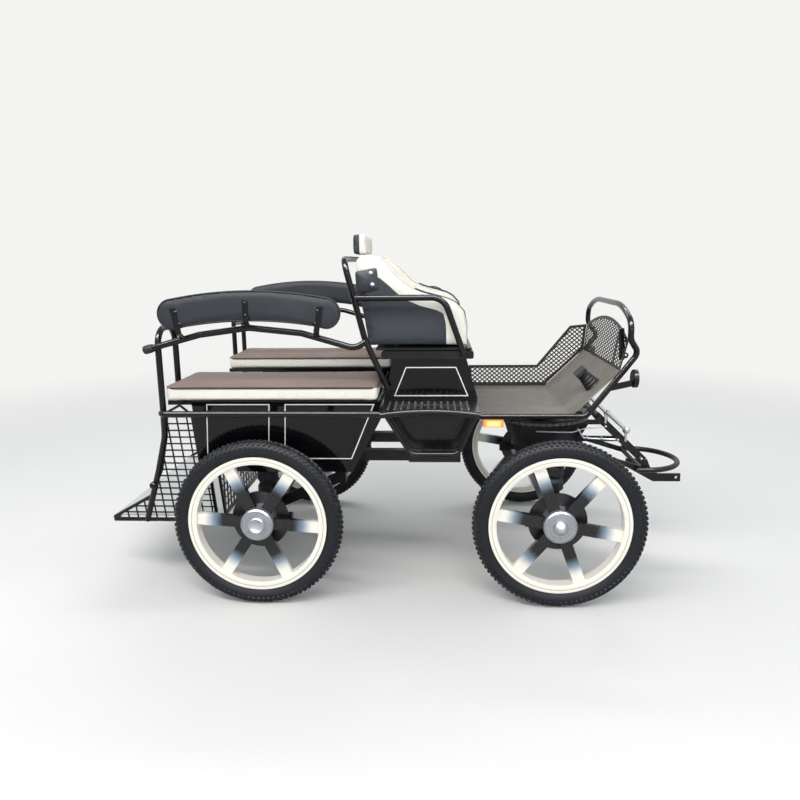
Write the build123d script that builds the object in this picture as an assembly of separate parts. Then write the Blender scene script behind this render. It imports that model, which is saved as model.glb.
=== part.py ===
"""An open horse drawn carriage with four pneumatic wheels, built from its own sub-parts.

Millimetres, +X forward, +Z up. The origin is on the ground under the middle of the whole carriage.
The right side is -Y. Sides are made once and mirrored, and every piece is written to parts/NAME.step.
"""
from build123d import *
from math import atan2, cos, degrees, hypot, pi, radians, sin, sqrt
import os

# Driving dimensions
WHEELBASE = 1220.0
TRACK = 1230.0
TYRE_R = 350.0
FLOOR_Z = 742.0            # top of the driver's footwell floor
SEAT_Z = 1046.0            # top of the driver's seat board
BENCH_Z = 918.0            # top of the two side cushions
STEP_Z = 313.0             # top of the low rear step
REAR_X = -1296.0           # rear edge of the step
NOSE_X = 1296.0            # front end of the pole hitch
CABIN_Z = 545.0            # top of the passengers' floor

# Clearances and overruns
SEAT_GAP = 0.3             # between pieces that rest on each other on curved or soft faces
RUN_GAP = 5.0              # between pieces that move past each other
CUT = 5.0                  # how far a cutter runs past what it cuts

FRONT_X = WHEELBASE / 2
AXLE_REAR_X = -WHEELBASE / 2
AXLE_Z = TYRE_R
WHEEL_Y = TRACK / 2

# Tubes and sheets that many pieces share
TUBE_R = 12.5
THIN_R = 8.0
SHEET = 3.0
PLATE = 8.0
WELL_T = 6.0

# Wheels
LUG_H = 6.0
LUG_LENGTH = 14.0
LUG_WIDTH = 20.0
LUG_PAIRS = 24
TYRE_HALF_W = 34.0
RIM_SEAT_R = 266.0
RIM_FLANGE_R = RIM_SEAT_R + 18.0
RIM_INNER_R = RIM_SEAT_R - 14.0
RIM_HALF_W = 28.0
FLANGE_T = 4.0
SPOKE_COUNT = 6
SPOKE_W = 48.0
SPOKE_T = 22.0
FRONT_SPOKE_TURN = -10.0   # degrees
REAR_SPOKE_TURN = -4.0     # degrees
HUB_R = 67.0
HUB_FACE_Y = 38.0          # hub cover's face, outboard of the wheel's middle
HUB_BACK_Y = 42.0          # hub's inner end, inboard of the wheel's middle
HUB_DOME_R = 25.0
HUB_DOME_H = 24.0
DISC_R = 120.0
DISC_T = 6.0
STUB_R = 15.0
STUB_GAP = 0.5
STUB_LENGTH = 60.0

# Axles
AXLE_SIZE = 50.0
AXLE_HALF = WHEEL_Y - HUB_BACK_Y - DISC_T - RUN_GAP
CALIPER_L = 62.0
CALIPER_H = 44.0
CALIPER_T = 34.0

# Chassis
RAIL_Y = 165.0             # middle of the two long rails
RAIL_W = 40.0
RAIL_H = 50.0
CHASSIS_Z = CABIN_Z - PLATE
CROSS_SIZE = 40.0
NECK_TOP_Z = FLOOR_Z - WELL_T
RING_R = 232.0
RING_W = 30.0
RING_T = 12.0
RING_GAP = 1.0
TOOTH_COUNT = 48           # teeth that show round the turntable
KING_PIN_R = 18.0

# Body: both sides stand in planes that lean outward from the step to the bench rails
SIDE_LOW_Z = 288.0
SIDE_LOW_Y = 458.0
SIDE_TOP_Z = 812.0
SIDE_TOP_Y = 588.0
BODY_TOP_Z = 850.5         # outer top edges of the sides, just under the cushions
FRONT_TOP_Z = 800.0        # top of the slanting front wall and of the rear screens
BODY_REAR_X = -862.0
BODY_FRONT_X = -90.0       # at the top of the front wall
BODY_FRONT_LOW_X = -228.0  # at the bottom
SIDE_FRONT_X = -103.0      # upright front end of the sides above their slant
BODY_T = 12.0
BOX_Y = 450.0              # outer face of the driver's box
BOX_TOP_Z = SEAT_Z - 44.0
BOX_LOW_Z = 832.0
BOX_TOP_X = (-59.0, 241.0)
BOX_LOW_X = (-99.0, 290.0)
SEAT_BOARD_X = (-106.0, 270.0)
SEAT_BOARD_Y = 470.0
SEAT_SHEET_X = (-128.0, 262.0)   # thin sheet above the thick seat board
SEAT_SHEET_Y = 462.0
SEAT_SHEET_T = 8.0
SEAT_SLOT = 4.0            # shadow gap between the sheet and the board
SEAT_SLOT_IN = 22.0
UNDER_BOX_X = (-8.0, 230.0)
UNDER_BOX_Y = 200.0
UNDER_BOX_Z = 484.0

# Benches along the sides
BENCH_X = (-963.0, -112.0)
BENCH_IN_Y = 250.0
BENCH_OUT_Y = 600.0
CUSHION_T = 64.0
BENCH_BOARD_T = 18.0
CUSHION_ROUND = 14.0
BENCH_LEG_T = 5.0
RAIL_OUT_Y = 640.0         # middle of the rail tube outside the cushion
RAIL_TUBE_Z = 810.0
BRACKET_SHARES = (0.06, 0.42, 0.72, 0.96)   # places of the rail's brackets along the bench
VEE = ((-960.0, 816.0), (-896.0, 850.0), (-856.0, 816.0))   # bent strap behind the rail's rear end
BACK_Y = 622.0             # inner face of the back rest boards
BACK_X = (-947.0, -245.0)
BACK_END_Z = 1192.0        # middle of the board's ends
BACK_RISE = 40.0           # how far the board's middle is above its ends
BACK_H = 114.0
BACK_T = 36.0
HOOP_X = -977.0
HOOP_OUT_Y = 601.0
HOOP_IN_Y = 420.0
HOOP_TOP_Z = 1142.0
ARCH_Y = 622.0             # middle of the arched rail under the back rest
# The arched rail from its capped rear end to its front end at the driver's seat: (x, z)
ARCH_POINTS = ((-1010.0, 1066.0), (-800.0, 1122.0), (-604.0, 1148.0), (-400.0, 1126.0), (-196.0, 1066.0),
               (-152.0, 1090.0))
ARCH_BEND = 60.0
TIE_Z = 1075.0
# The hoop's outer leg below the rail: (x, z)
LEG_POINTS = ((-991.0, 700.0), (-1046.0, 542.0), (-1140.0, 300.0))
LEG_BEND = 200.0
STRAP_W = 22.0
STRAP_T = 5.0
# Back rest straps: foot x, foot z on the arched rail, top x
BACK_STRAPS = ((-861.0, 1106.0, -884.0), (-604.0, 1148.0, -604.0), (-341.0, 1110.0, -318.0))

# Driver's seat
DRIVER_Y = 440.0           # outer face of the seat's sides
DRIVER_X = (-165.0, 250.0)
DRIVER_SIDE_T = 90.0
DRIVER_CUSHION_T = 110.0
DRIVER_BACK_T = 110.0
DRIVER_BACK_TOP_Z = 1424.0
HEAD_PAD_H = 88.0
HEAD_PAD_BACK = 85.0       # how far the pad starts behind the seat
HEAD_PAD_Y = 150.0
HEAD_PAD_T = 62.0
ARM_Y = SEAT_BOARD_Y + TUBE_R + SEAT_GAP
FRAME_TOP = (-250.0, 1404.0)
FRAME_KNEE = (-170.0, 1085.0)
FRAME_FOOT = (-80.0, 880.0)
FRAME_BENDS = (30.0, 60.0)
ARM_REAR_X = -212.0
ARM_Z = 1250.0
ARM_BEND_X = 148.0
ARM_FOOT_X = 232.0
ARM_BEND = 70.0
# Outline of the seat's sides above their foot, from the front: (x, z)
SEAT_SIDE_TOP = ((250.0, 1126.0), (239.0, 1187.0), (208.0, 1222.0), (174.0, 1242.0), (130.0, 1255.0), (69.0, 1271.0),
                 (30.0, 1286.0), (-1.0, 1303.0), (-44.0, 1344.0), (-87.0, 1387.0), (-125.0, 1411.0), (-160.0, 1423.0),
                 (-195.0, 1419.0), (-214.0, 1397.0), (-210.0, 1300.0))
# Front of the seat's back above its foot: (x, z)
SEAT_BACK_FRONT = ((-95.0, 1340.0), (-135.0, 1402.0), (-163.0, 1424.0))
SEAT_BACK_LEAN = -45.0

# Side treads and stirrup steps
TREAD_IN_Y = BOX_Y + 12.0
TREAD_OUT_Y = 672.0
TREAD_X = (-98.0, 286.0)
TREAD_Z = 826.0
TREAD_RIB_PITCH = 26.0
TREAD_RIB_H = 4.0
TREAD_BOW = 14.0           # how far the edge tube's ends are below its middle
STIRRUP_X = (18.0, 204.0)
STIRRUP_TOP_X = (-84.0, 276.0)
STIRRUP_Z = (643.0, 656.0)  # inner and outer bar
STIRRUP_Y = (566.0, 664.0)
STIRRUP_BEND = 40.0
STIRRUP_RIBS = 6

# Footwell
WELL_X = (284.0, 690.0)    # rear edge and crease
WELL_EDGE_Y = 368.0        # middle of the tube round the edge
WELL_Y = WELL_EDGE_Y - TUBE_R - SEAT_GAP
BOARD_TOP_X = 885.0
BOARD_TOP_Z = 932.0
EDGE_BEND_X = 752.0
EDGE_TOP_X = 956.0
EDGE_TOP_Z = 1010.0
HOOP_FOOT_X = 912.0        # the dash hoop, which the edge tube turns into
HOOP_FOOT_Y = 400.0
HOOP_FOOT_Z = 1068.0
HOOP_SHOULDER_Z = 1138.0
HOOP_CROWN_Y = 255.0
HOOP_CROWN_Z = 1202.0
DASH_LEAN = 9.0            # degrees
DASH_SIDE_Z = 1061.0
DASH_SIDE_Y = 386.0        # half of the dash panel's width at the top of its sides
DASH_RISE = 72.0
DASH_TURN = 22.0           # degrees either way
DASH_PITCH = 17.0
DASH_STRIP_Y = -225.0
DASH_STRIP_W = 26.0
EDGE_BENDS = (40.0, 36.0, 50.0, 60.0, 500.0)   # radius at each corner up to the hoop's crown
SIDE_PANEL_Z = 848.0
# Left side panel above the folded sheet, from the rear: (x, z)
SIDE_PANEL_TOP = ((645.0, 848.0), (811.0, 1052.0), (896.0, 1060.0))
LATTICE_W = 6.0
LATTICE_T = 1.5
LATTICE_PITCH = 16.5
LATTICE_TURN = 40.0        # degrees either way
LATTICE_EDGE = 14.0

# Pedal, lamps and markers
PEDAL_SHARE = 0.58         # place up the footboard
PEDAL_Y = -240.0
PEDAL_R = (38.0, 24.0)     # at the board and at the pad
PEDAL_H = 74.0
PEDAL_RIBS = 5
PEDAL_PAD = (52.0, 80.0, 14.0)
LAMP_R = 38.0
LAMP_T = 20.0
LAMP_AT = (938.0, 392.0, 906.0)
LAMP_ARM_W = 26.0
LAMP_ARM_FOOT = (846.0, 862.0)
MARKER_X = (320.0, 405.0)
MARKER_H = 34.0
MARKER_T = 14.0

# Rear step and its screens
STEP_FRONT_X = -800.0
STEP_T = 4.0
STEP_LIP = 22.0
WIRE = 5.0
WIRE_PITCH_X = 42.0
WIRE_PITCH_Z = 31.0
SCREEN_EDGE = 12.0
SCREEN_LOW_IN = 30.0       # from the step's front edge back to the screen's low front end
# Rear edge of the screens, from the top: (x, z)
SCREEN_REAR = ((-980.0, FRONT_TOP_Z), (-1000.0, 697.0), (-1046.0, 542.0), (-1110.0, 420.0))

# Suspension
BELLOW_R = 44.0
BELLOW_Y = 430.0
BELLOW_LOW_Z = 402.0
ARM_PIVOT_X = -290.0
ARM_PIVOT_Z = 490.0
ARM_H = 46.0
ARM_T = 12.0
FRONT_SPRING_Y = 440.0
FRONT_SPRING_Z = (440.0, 549.0)

# Fore-carriage and pole hitch
FORE_Y = 150.0
FORE_DECK_Z = 560.0
FORE_PLATE_X = (-170.0, 205.0)     # from the king pin, along the top
FORE_FOOT_X = (-120.0, 120.0)      # from the king pin, along the bottom
ARM_SIZE = (10.0, 34.0)
DRAW_TOP = (FRONT_X + 233.0, 700.0)
DRAW_FOOT = (FRONT_X + 456.0, 486.0)
DRAW_TIE = (FRONT_X + 150.0, FRONT_X + 338.0, 589.0)   # rear x, front x and height
DRAW_LOW = (FRONT_X + 130.0, 545.0)
STRUT_TOP = (FRONT_X + 274.0, 718.0)
STRUT_FOOT = (FRONT_X + 368.0, 632.0)
STRUT_R = 9.0
STRUT_BALL_R = 17.0
BOW_Z = 446.0
BOW_X = FRONT_X + 656.0
BOW_Y = 186.0
CROSS_X = FRONT_X + 448.0
CROSS_R = 11.0
HITCH_Z = 353.0
HITCH_H = 38.0
HITCH_T = 14.0
HITCH_TOP_X = (CROSS_X - 24.0, CROSS_X + 26.0)
HITCH_KNEE_X = (CROSS_X + 107.0, CROSS_X + 132.0)
HITCH_BORE_R = 8.0

PARTS = {}


def keep(name, shape):
    """Store a finished piece under its own name."""
    PARTS[name] = shape


def sides(name, make):
    """Make the right side's piece once and mirror it for the left."""
    right = make()
    keep(name + "_right", right)
    keep(name + "_left", mirror(right, about=Plane.XZ))


def block(x, y, z):
    """A box between two corners given as (low, high) pairs."""
    size = (x[1] - x[0], y[1] - y[0], z[1] - z[0])
    middle = ((x[0] + x[1]) / 2, (y[0] + y[1]) / 2, (z[0] + z[1]) / 2)
    return Pos(*middle) * Box(*size)


def rod(points, radius, bend=None):
    """A round bar along straight runs joined by tangent arcs."""
    path = FilletPolyline(*points, radius=bend) if bend else Polyline(*points)
    start = Plane(origin=path @ 0, z_dir=path % 0)
    return sweep(start * Circle(radius), path=path, transition=Transition.RIGHT)


def slab(points, y, thickness):
    """A plate in the XZ plane from its outline, its lower Y face at y."""
    outline = make_face(Polyline(*[(px, 0, pz) for px, pz in points], close=True))
    return Pos(0, y + thickness, 0) * extrude(outline, amount=thickness, dir=(0, -1, 0))


def bar(start, end, width, height):
    """A straight bar of rectangular section between two points, its height as near upright as it goes."""
    line = Vector(*end) - Vector(*start)
    side = Vector(0, 0, 1).cross(line)
    if side.length < SEAT_GAP:
        side = Vector(0, 1, 0)
    plane = Plane(origin=start, x_dir=side, z_dir=line)
    return extrude(plane * Rectangle(width, height), amount=line.length)


def side_y(z):
    """How far from the middle a side's plane stands at a height."""
    return SIDE_LOW_Y + (z - SIDE_LOW_Z) * (SIDE_TOP_Y - SIDE_LOW_Y) / (SIDE_TOP_Z - SIDE_LOW_Z)


def side_plane():
    """The right side's leaning plane: local x is forward, local y up its slope, local z outward."""
    return Plane(origin=(0, -SIDE_LOW_Y, SIDE_LOW_Z), x_dir=(1, 0, 0),
                 z_dir=(0, -(SIDE_TOP_Z - SIDE_LOW_Z), SIDE_LOW_Y - SIDE_TOP_Y))


def side_lean():
    """A side's angle from upright, in radians."""
    return atan2(SIDE_TOP_Y - SIDE_LOW_Y, SIDE_TOP_Z - SIDE_LOW_Z)


def on_side(points):
    """Turn (x, z) points of the carriage into the leaning plane's own coordinates."""
    return [(px, (pz - SIDE_LOW_Z) / cos(side_lean())) for px, pz in points]


def between_sides(x, z, inset):
    """The space between the two leaning sides over a span of x and z, cut short by an inset."""
    low_y = side_y(z[0]) - inset
    top_y = side_y(z[1]) - inset
    face = make_face(Polyline((0, -low_y, z[0]), (0, low_y, z[0]), (0, top_y, z[1]), (0, -top_y, z[1]), close=True))
    return Pos(x[0], 0, 0) * extrude(face, amount=x[1] - x[0], dir=(1, 0, 0))


def grille(face, edge, bar_w, layer, runs):
    """A flat grille in the XY plane: an edge strip all round and two layers of crossing bars.

    runs holds one (angle in degrees, pitch) for each layer, the lower layer first.
    """
    gap = SEAT_GAP
    ring = extrude(face - offset(face, amount=-edge, kind=Kind.INTERSECTION), amount=2 * layer + gap)
    clip = offset(face, amount=-edge / 2, kind=Kind.INTERSECTION)
    box = face.bounding_box()
    middle = box.center()
    reach = hypot(box.size.X, box.size.Y)
    bars = []
    for level, (angle, pitch) in enumerate(runs):
        count = int(reach / 2 / pitch)
        for i in range(-count, count + 1):
            strip = Pos(middle.X, middle.Y) * Rot(0, 0, angle) * Pos(0, i * pitch) * Rectangle(reach, bar_w)
            for piece in (strip & clip).faces():
                bars.append(Pos(0, 0, level * (layer + gap)) * extrude(piece, amount=layer))
    return ring.fuse(*bars)


def turned(points, y_axis_x, z):
    """A ring or disc turned about a line along Y, from an outline of (radius, y) points."""
    outline = make_face(Polyline(*[(r, y, 0) for r, y in points], close=True))
    about_y = revolve(outline, axis=Axis.Y)
    return Pos(y_axis_x, 0, z) * about_y


# Wheels

def make_tyre(x, y):
    """The tyre's carcass with two staggered rows of knobs round its shoulders."""
    crown = TYRE_R - LUG_H
    wall_r = (RIM_FLANGE_R + crown) / 2
    bead = RIM_HALF_W - FLANGE_T - SEAT_GAP
    seat_r = RIM_SEAT_R + SEAT_GAP
    shoulder = TYRE_HALF_W * 0.62
    outline = [(seat_r, -bead), (RIM_FLANGE_R + FLANGE_T, -bead), (wall_r, -TYRE_HALF_W), (crown - LUG_H, -shoulder),
               (crown, 0), (crown - LUG_H, shoulder), (wall_r, TYRE_HALF_W), (RIM_FLANGE_R + FLANGE_T, bead),
               (seat_r, bead)]
    tyre = turned(outline, 0, 0)
    lugs = []
    step = 360 / LUG_PAIRS
    for i in range(LUG_PAIRS):
        for side, lead in ((-1, 0), (1, step / 2)):
            lug = Pos(0, side * LUG_WIDTH / 2, 0) * Box(LUG_LENGTH, LUG_WIDTH, 2 * LUG_H)
            lugs.append(Rot(0, i * step + lead, 0) * Pos(0, 0, TYRE_R - LUG_H) * lug)
    tyre = tyre.fuse(*lugs)
    return Pos(x, y, AXLE_Z) * tyre


def make_wheel(x, y, turn):
    """The rim channel and six flat spokes on a centre plate with the hub's bore."""
    base_r = RIM_SEAT_R
    edge = RIM_HALF_W - FLANGE_T
    channel = [(RIM_INNER_R, -edge), (base_r - FLANGE_T, -RIM_HALF_W), (RIM_FLANGE_R, -RIM_HALF_W),
               (RIM_FLANGE_R, -edge), (base_r, -edge), (base_r, edge), (RIM_FLANGE_R, edge),
               (RIM_FLANGE_R, RIM_HALF_W), (base_r - FLANGE_T, RIM_HALF_W), (RIM_INNER_R, edge)]
    rim = turned(channel, 0, 0)
    reach = RIM_INNER_R + FLANGE_T
    spokes = []
    for i in range(SPOKE_COUNT):
        spoke = Pos(reach / 2, 0, 0) * Box(reach, SPOKE_T, SPOKE_W)
        spokes.append(Rot(0, -(turn + i * 360 / SPOKE_COUNT), 0) * spoke)
    wheel = rim.fuse(*spokes) - Rot(90, 0, 0) * Cylinder(HUB_R + SEAT_GAP, 2 * SPOKE_T)
    return Pos(x, y, AXLE_Z) * wheel


def make_hub(x, side, dome):
    """The hub barrel with its cover outside and the brake disc inside; side is -1 on the right."""
    face = HUB_FACE_Y
    back = -HUB_BACK_Y
    cover_r = HUB_R
    step = HUB_R / 12
    outline = [(0, face), (cover_r - step, face), (cover_r, face - step), (cover_r, back + DISC_T),
               (DISC_R, back + DISC_T), (DISC_R, back), (STUB_R + STUB_GAP, back),
               (STUB_R + STUB_GAP, back + STUB_LENGTH), (0, back + STUB_LENGTH)]
    hub = turned(outline, 0, 0)
    if dome:
        cap = [(0, face), (HUB_DOME_R, face), (HUB_DOME_R, face + HUB_DOME_H / 3),
               (HUB_DOME_R / 3, face + HUB_DOME_H), (0, face + HUB_DOME_H)]
        hub = hub + turned(cap, 0, 0)
    if side < 0:
        hub = mirror(hub, about=Plane.XZ)
    return Pos(x, side * WHEEL_Y, AXLE_Z) * hub


def make_wheels():
    """Four wheels, each a tyre, a spoked wheel and a hub."""
    for end, x, turn, dome in (("front", FRONT_X, FRONT_SPOKE_TURN, True), ("rear", AXLE_REAR_X, REAR_SPOKE_TURN, False)):
        for hand, side in (("right", -1), ("left", 1)):
            name = end + "_" + hand
            keep(name + "_tyre", make_tyre(x, side * WHEEL_Y))
            keep(name + "_wheel", make_wheel(x, side * WHEEL_Y, turn))
            keep(name + "_hub", make_hub(x, side, dome))


# Axles and suspension

def axle_beam(x, caliper_side):
    """A square beam with a stub for each hub and a brake caliper over each disc."""
    beam = Pos(x, 0, AXLE_Z) * Box(AXLE_SIZE, 2 * AXLE_HALF, AXLE_SIZE)
    stub_end = WHEEL_Y - HUB_BACK_Y + STUB_LENGTH - RUN_GAP
    for side in (-1, 1):
        stub = Rot(90, 0, 0) * Cylinder(STUB_R, stub_end - AXLE_HALF + CUT)
        beam = beam + Pos(x, side * (stub_end + AXLE_HALF - CUT) / 2, AXLE_Z) * stub
        beam = beam + make_caliper(x, side, caliper_side)
    return beam


def make_caliper(x, side, behind):
    """A brake caliper that straddles the disc, on a bracket from the axle; behind is -1 to sit rearward."""
    disc_y = WHEEL_Y - HUB_BACK_Y + DISC_T / 2
    reach = DISC_R - CALIPER_L / 3
    middle_x = x + behind * reach
    inner_y = disc_y - CALIPER_T
    body = Pos(middle_x, side * (disc_y - CALIPER_T / 4), AXLE_Z) * Box(CALIPER_L, CALIPER_T, CALIPER_H)
    slot_w = DISC_T + 2 * RUN_GAP
    slot = Pos(x, side * disc_y, AXLE_Z) * Rot(90, 0, 0) * Cylinder(DISC_R + RUN_GAP, slot_w)
    arm_y = (inner_y, disc_y - slot_w / 2)
    arm = block((min(x, middle_x), max(x, middle_x)), sorted((side * arm_y[0], side * arm_y[1])),
                (AXLE_Z - AXLE_SIZE / 4, AXLE_Z + AXLE_SIZE / 4))
    hub_room = Pos(x, side * (disc_y + slot_w), AXLE_Z) * Rot(90, 0, 0) * Cylinder(HUB_R + RUN_GAP, 2 * slot_w)
    return body - slot - hub_room + arm


def make_rear_axle():
    """Rear axle beam with two trailing arms to pivots under the floor and seats for the air springs."""
    axle = axle_beam(AXLE_REAR_X, 1)
    low_z = BELLOW_LOW_Z - SEAT_GAP
    for side in (-1, 1):
        y = side * BELLOW_Y
        start = (AXLE_REAR_X, y, AXLE_Z)
        axle = axle + bar(start, (ARM_PIVOT_X, y, ARM_PIVOT_Z), ARM_T, ARM_H)
        eye = Pos(ARM_PIVOT_X, y, ARM_PIVOT_Z) * Rot(90, 0, 0) * Cylinder(ARM_H / 2, 2 * ARM_T)
        post = block((AXLE_REAR_X - AXLE_SIZE / 2, AXLE_REAR_X + AXLE_SIZE / 2), (y - AXLE_SIZE / 2, y + AXLE_SIZE / 2),
                     (AXLE_Z, low_z - PLATE))
        seat = Pos(AXLE_REAR_X, y, low_z - PLATE / 2) * Cylinder(BELLOW_R, PLATE)
        axle = axle + eye + post + seat
    return axle


def make_bellows(x, y, low_z, high_z, radius):
    """A pair of round rubber springs with a waist between their two lobes."""
    middle = (low_z + high_z) / 2
    waist = radius * 0.8
    lip = radius / 6
    outline = [(0, low_z), (radius - lip, low_z), (radius, low_z + lip), (radius, middle - 2 * lip), (waist, middle),
               (radius, middle + 2 * lip), (radius, high_z - lip), (radius - lip, high_z), (0, high_z)]
    face = make_face(Polyline(*[(r, 0, z) for r, z in outline], close=True))
    spring = revolve(face, axis=Axis.Z)
    return Compound(children=[Pos(x, -y, 0) * spring, Pos(x, y, 0) * spring])


# Chassis

def make_main_frame():
    """Two long rails with cross members, rising over the fore-carriage to the upper turntable plate."""
    rear_x = STEP_FRONT_X
    front_x = UNDER_BOX_X[1]
    rail_z = (CHASSIS_Z - RAIL_H, CHASSIS_Z)
    neck_z = (NECK_TOP_Z - RAIL_H, NECK_TOP_Z)
    frame = None
    for side in (-1, 1):
        y = (side * RAIL_Y - RAIL_W / 2, side * RAIL_Y + RAIL_W / 2)
        low = block((rear_x, front_x), y, rail_z)
        post = block((front_x - RAIL_W, front_x), y, (rail_z[0], neck_z[1]))
        neck = block((front_x - RAIL_W, FRONT_X), y, neck_z)
        piece = low + post + neck
        frame = piece if frame is None else frame + piece
    for x, half in ((rear_x + CROSS_SIZE / 2, SIDE_LOW_Y), (AXLE_REAR_X, BELLOW_Y + BELLOW_R),
                    (ARM_PIVOT_X, BELLOW_Y + BELLOW_R)):
        frame = frame + block((x - CROSS_SIZE / 2, x + CROSS_SIZE / 2), (-half, half), (CHASSIS_Z - CROSS_SIZE / 4, CHASSIS_Z))
    for side in (-1, 1):
        for ear in (-1, 1):
            y = side * BELLOW_Y + ear * (1.5 * ARM_T + SEAT_GAP)
            ear_x = (ARM_PIVOT_X - ARM_H / 2, ARM_PIVOT_X + ARM_H / 2)
            frame = frame + block(ear_x, (y - ARM_T / 2, y + ARM_T / 2), (ARM_PIVOT_Z - ARM_H / 2, CHASSIS_Z))
    ring_z = NECK_TOP_Z - RAIL_H - RING_T / 2
    ring = Pos(FRONT_X, 0, ring_z) * (Cylinder(RING_R, RING_T) - Cylinder(RING_R - RING_W, 2 * RING_T))
    spoke = Pos(FRONT_X, 0, ring_z) * Box(2 * RING_R - RING_W, 2 * RING_W, RING_T)
    pin_low = ring_z - RING_T / 2 - 3 * RING_T
    pin = Pos(FRONT_X, 0, (ring_z + pin_low) / 2) * Cylinder(KING_PIN_R, ring_z - pin_low)
    bridge = block((FRONT_X - RAIL_W, FRONT_X), (-RAIL_Y, RAIL_Y), neck_z)
    return frame + ring + spoke + pin + bridge


def make_under_box():
    """The narrow locker under the driver, in front of the chassis rails' rise."""
    x = UNDER_BOX_X
    y = UNDER_BOX_Y
    rails = RAIL_Y + RAIL_W / 2
    outer = block((x[0], x[1]), (-y, y), (UNDER_BOX_Z, BOX_LOW_Z))
    inner = block((x[0] + BODY_T, x[1] - BODY_T), (-y + BODY_T, y - BODY_T), (UNDER_BOX_Z + BODY_T, BOX_LOW_Z + CUT))
    gap = SEAT_GAP
    low = block((x[0] - CUT, x[1] + CUT), (-rails - gap, rails + gap), (CHASSIS_Z - RAIL_H - gap, CHASSIS_Z + gap))
    rise = block((x[1] - RAIL_W - gap, x[1] + CUT), (-rails - gap, rails + gap), (CHASSIS_Z - RAIL_H, BOX_LOW_Z + CUT))
    return outer - inner - low - rise


# Body

def front_slant():
    """How far the body's front leans forward for each millimetre that it rises."""
    return (BODY_FRONT_X - BODY_FRONT_LOW_X) / (FRONT_TOP_Z - CABIN_Z + PLATE)


def make_body_side():
    """The glossy side panel, leaning with its side's plane, with a slanting front edge."""
    low = CABIN_Z - PLATE
    knee_z = low + (SIDE_FRONT_X - BODY_FRONT_LOW_X) / front_slant()
    outline = on_side([(BODY_REAR_X, BODY_TOP_Z), (BODY_REAR_X, low), (BODY_FRONT_LOW_X, low),
                       (SIDE_FRONT_X, knee_z), (SIDE_FRONT_X, BODY_TOP_Z)])
    return extrude(side_plane() * make_face(Polyline(*outline, close=True)), amount=-BODY_T)


def make_body_floor():
    z = (CABIN_Z - PLATE, CABIN_Z)
    return between_sides((STEP_FRONT_X, BODY_FRONT_LOW_X - 2 * BODY_T - 3 * SEAT_GAP), z, BODY_T + 2 * SEAT_GAP)


def make_body_front():
    """The slanting front wall between the two sides."""
    low = CHASSIS_Z + SEAT_GAP
    top = FRONT_TOP_Z
    x_low = BODY_FRONT_LOW_X + front_slant() * (low - CABIN_Z + PLATE) - 2 * SEAT_GAP
    x_top = BODY_FRONT_X - 2 * SEAT_GAP
    wide = side_y(top)
    wall = slab([(x_low, low), (x_top, top), (x_top - 2 * BODY_T, top), (x_low - 2 * BODY_T, low)], -wide, 2 * wide)
    return wall & between_sides((x_low - 2 * BODY_T - CUT, x_top + CUT), (low, top), BODY_T + 2 * SEAT_GAP)


def make_driver_box():
    """The box that carries the driver's seat board, open at its top, over a narrow locker."""
    outer = [(BOX_LOW_X[0], BOX_LOW_Z), (BOX_LOW_X[1], BOX_LOW_Z), (BOX_TOP_X[1], BOX_TOP_Z), (BOX_TOP_X[0], BOX_TOP_Z)]
    inner = [(BOX_LOW_X[0] + BODY_T, BOX_LOW_Z + BODY_T), (BOX_LOW_X[1] - BODY_T, BOX_LOW_Z + BODY_T),
             (BOX_TOP_X[1] - BODY_T, BOX_TOP_Z + CUT), (BOX_TOP_X[0] + BODY_T, BOX_TOP_Z + CUT)]
    y = BOX_Y - BODY_T
    return slab(outer, -BOX_Y, 2 * BOX_Y) - slab(inner, -y, 2 * y)


def make_seat_board():
    """A thick board with round edges, a shadow gap and the thin sheet that the seat stands on."""
    top = SEAT_Z - SEAT_GAP
    board_top = top - SEAT_SHEET_T - SEAT_SLOT
    board = block(SEAT_BOARD_X, (-SEAT_BOARD_Y, SEAT_BOARD_Y), (BOX_TOP_Z, board_top))
    board = fillet(board.edges().filter_by(Axis.Y), SEAT_SHEET_T)
    inner_y = SEAT_SHEET_Y - SEAT_SLOT_IN
    spacer = block((SEAT_BOARD_X[0] + SEAT_SLOT_IN, SEAT_BOARD_X[1] - SEAT_SLOT_IN), (-inner_y, inner_y), (board_top, top))
    sheet = block(SEAT_SHEET_X, (-SEAT_SHEET_Y, SEAT_SHEET_Y), (top - SEAT_SHEET_T, top))
    return board + spacer + sheet


# Benches

def make_bench_cushion():
    cushion = block(BENCH_X, (-BENCH_OUT_Y, -BENCH_IN_Y), (BENCH_Z - CUSHION_T, BENCH_Z))
    upright = cushion.edges().filter_by(Axis.Z)
    return fillet(upright, CUSHION_ROUND)


def make_bench_base():
    """The board under a cushion, inside the leaning side."""
    top = BENCH_Z - CUSHION_T - SEAT_GAP
    low = top - BENCH_BOARD_T
    out_y = side_y(low) - BODY_T / cos(side_lean()) - 2 * SEAT_GAP
    return block(BENCH_X, (-out_y, -BENCH_IN_Y), (low, top))


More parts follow.
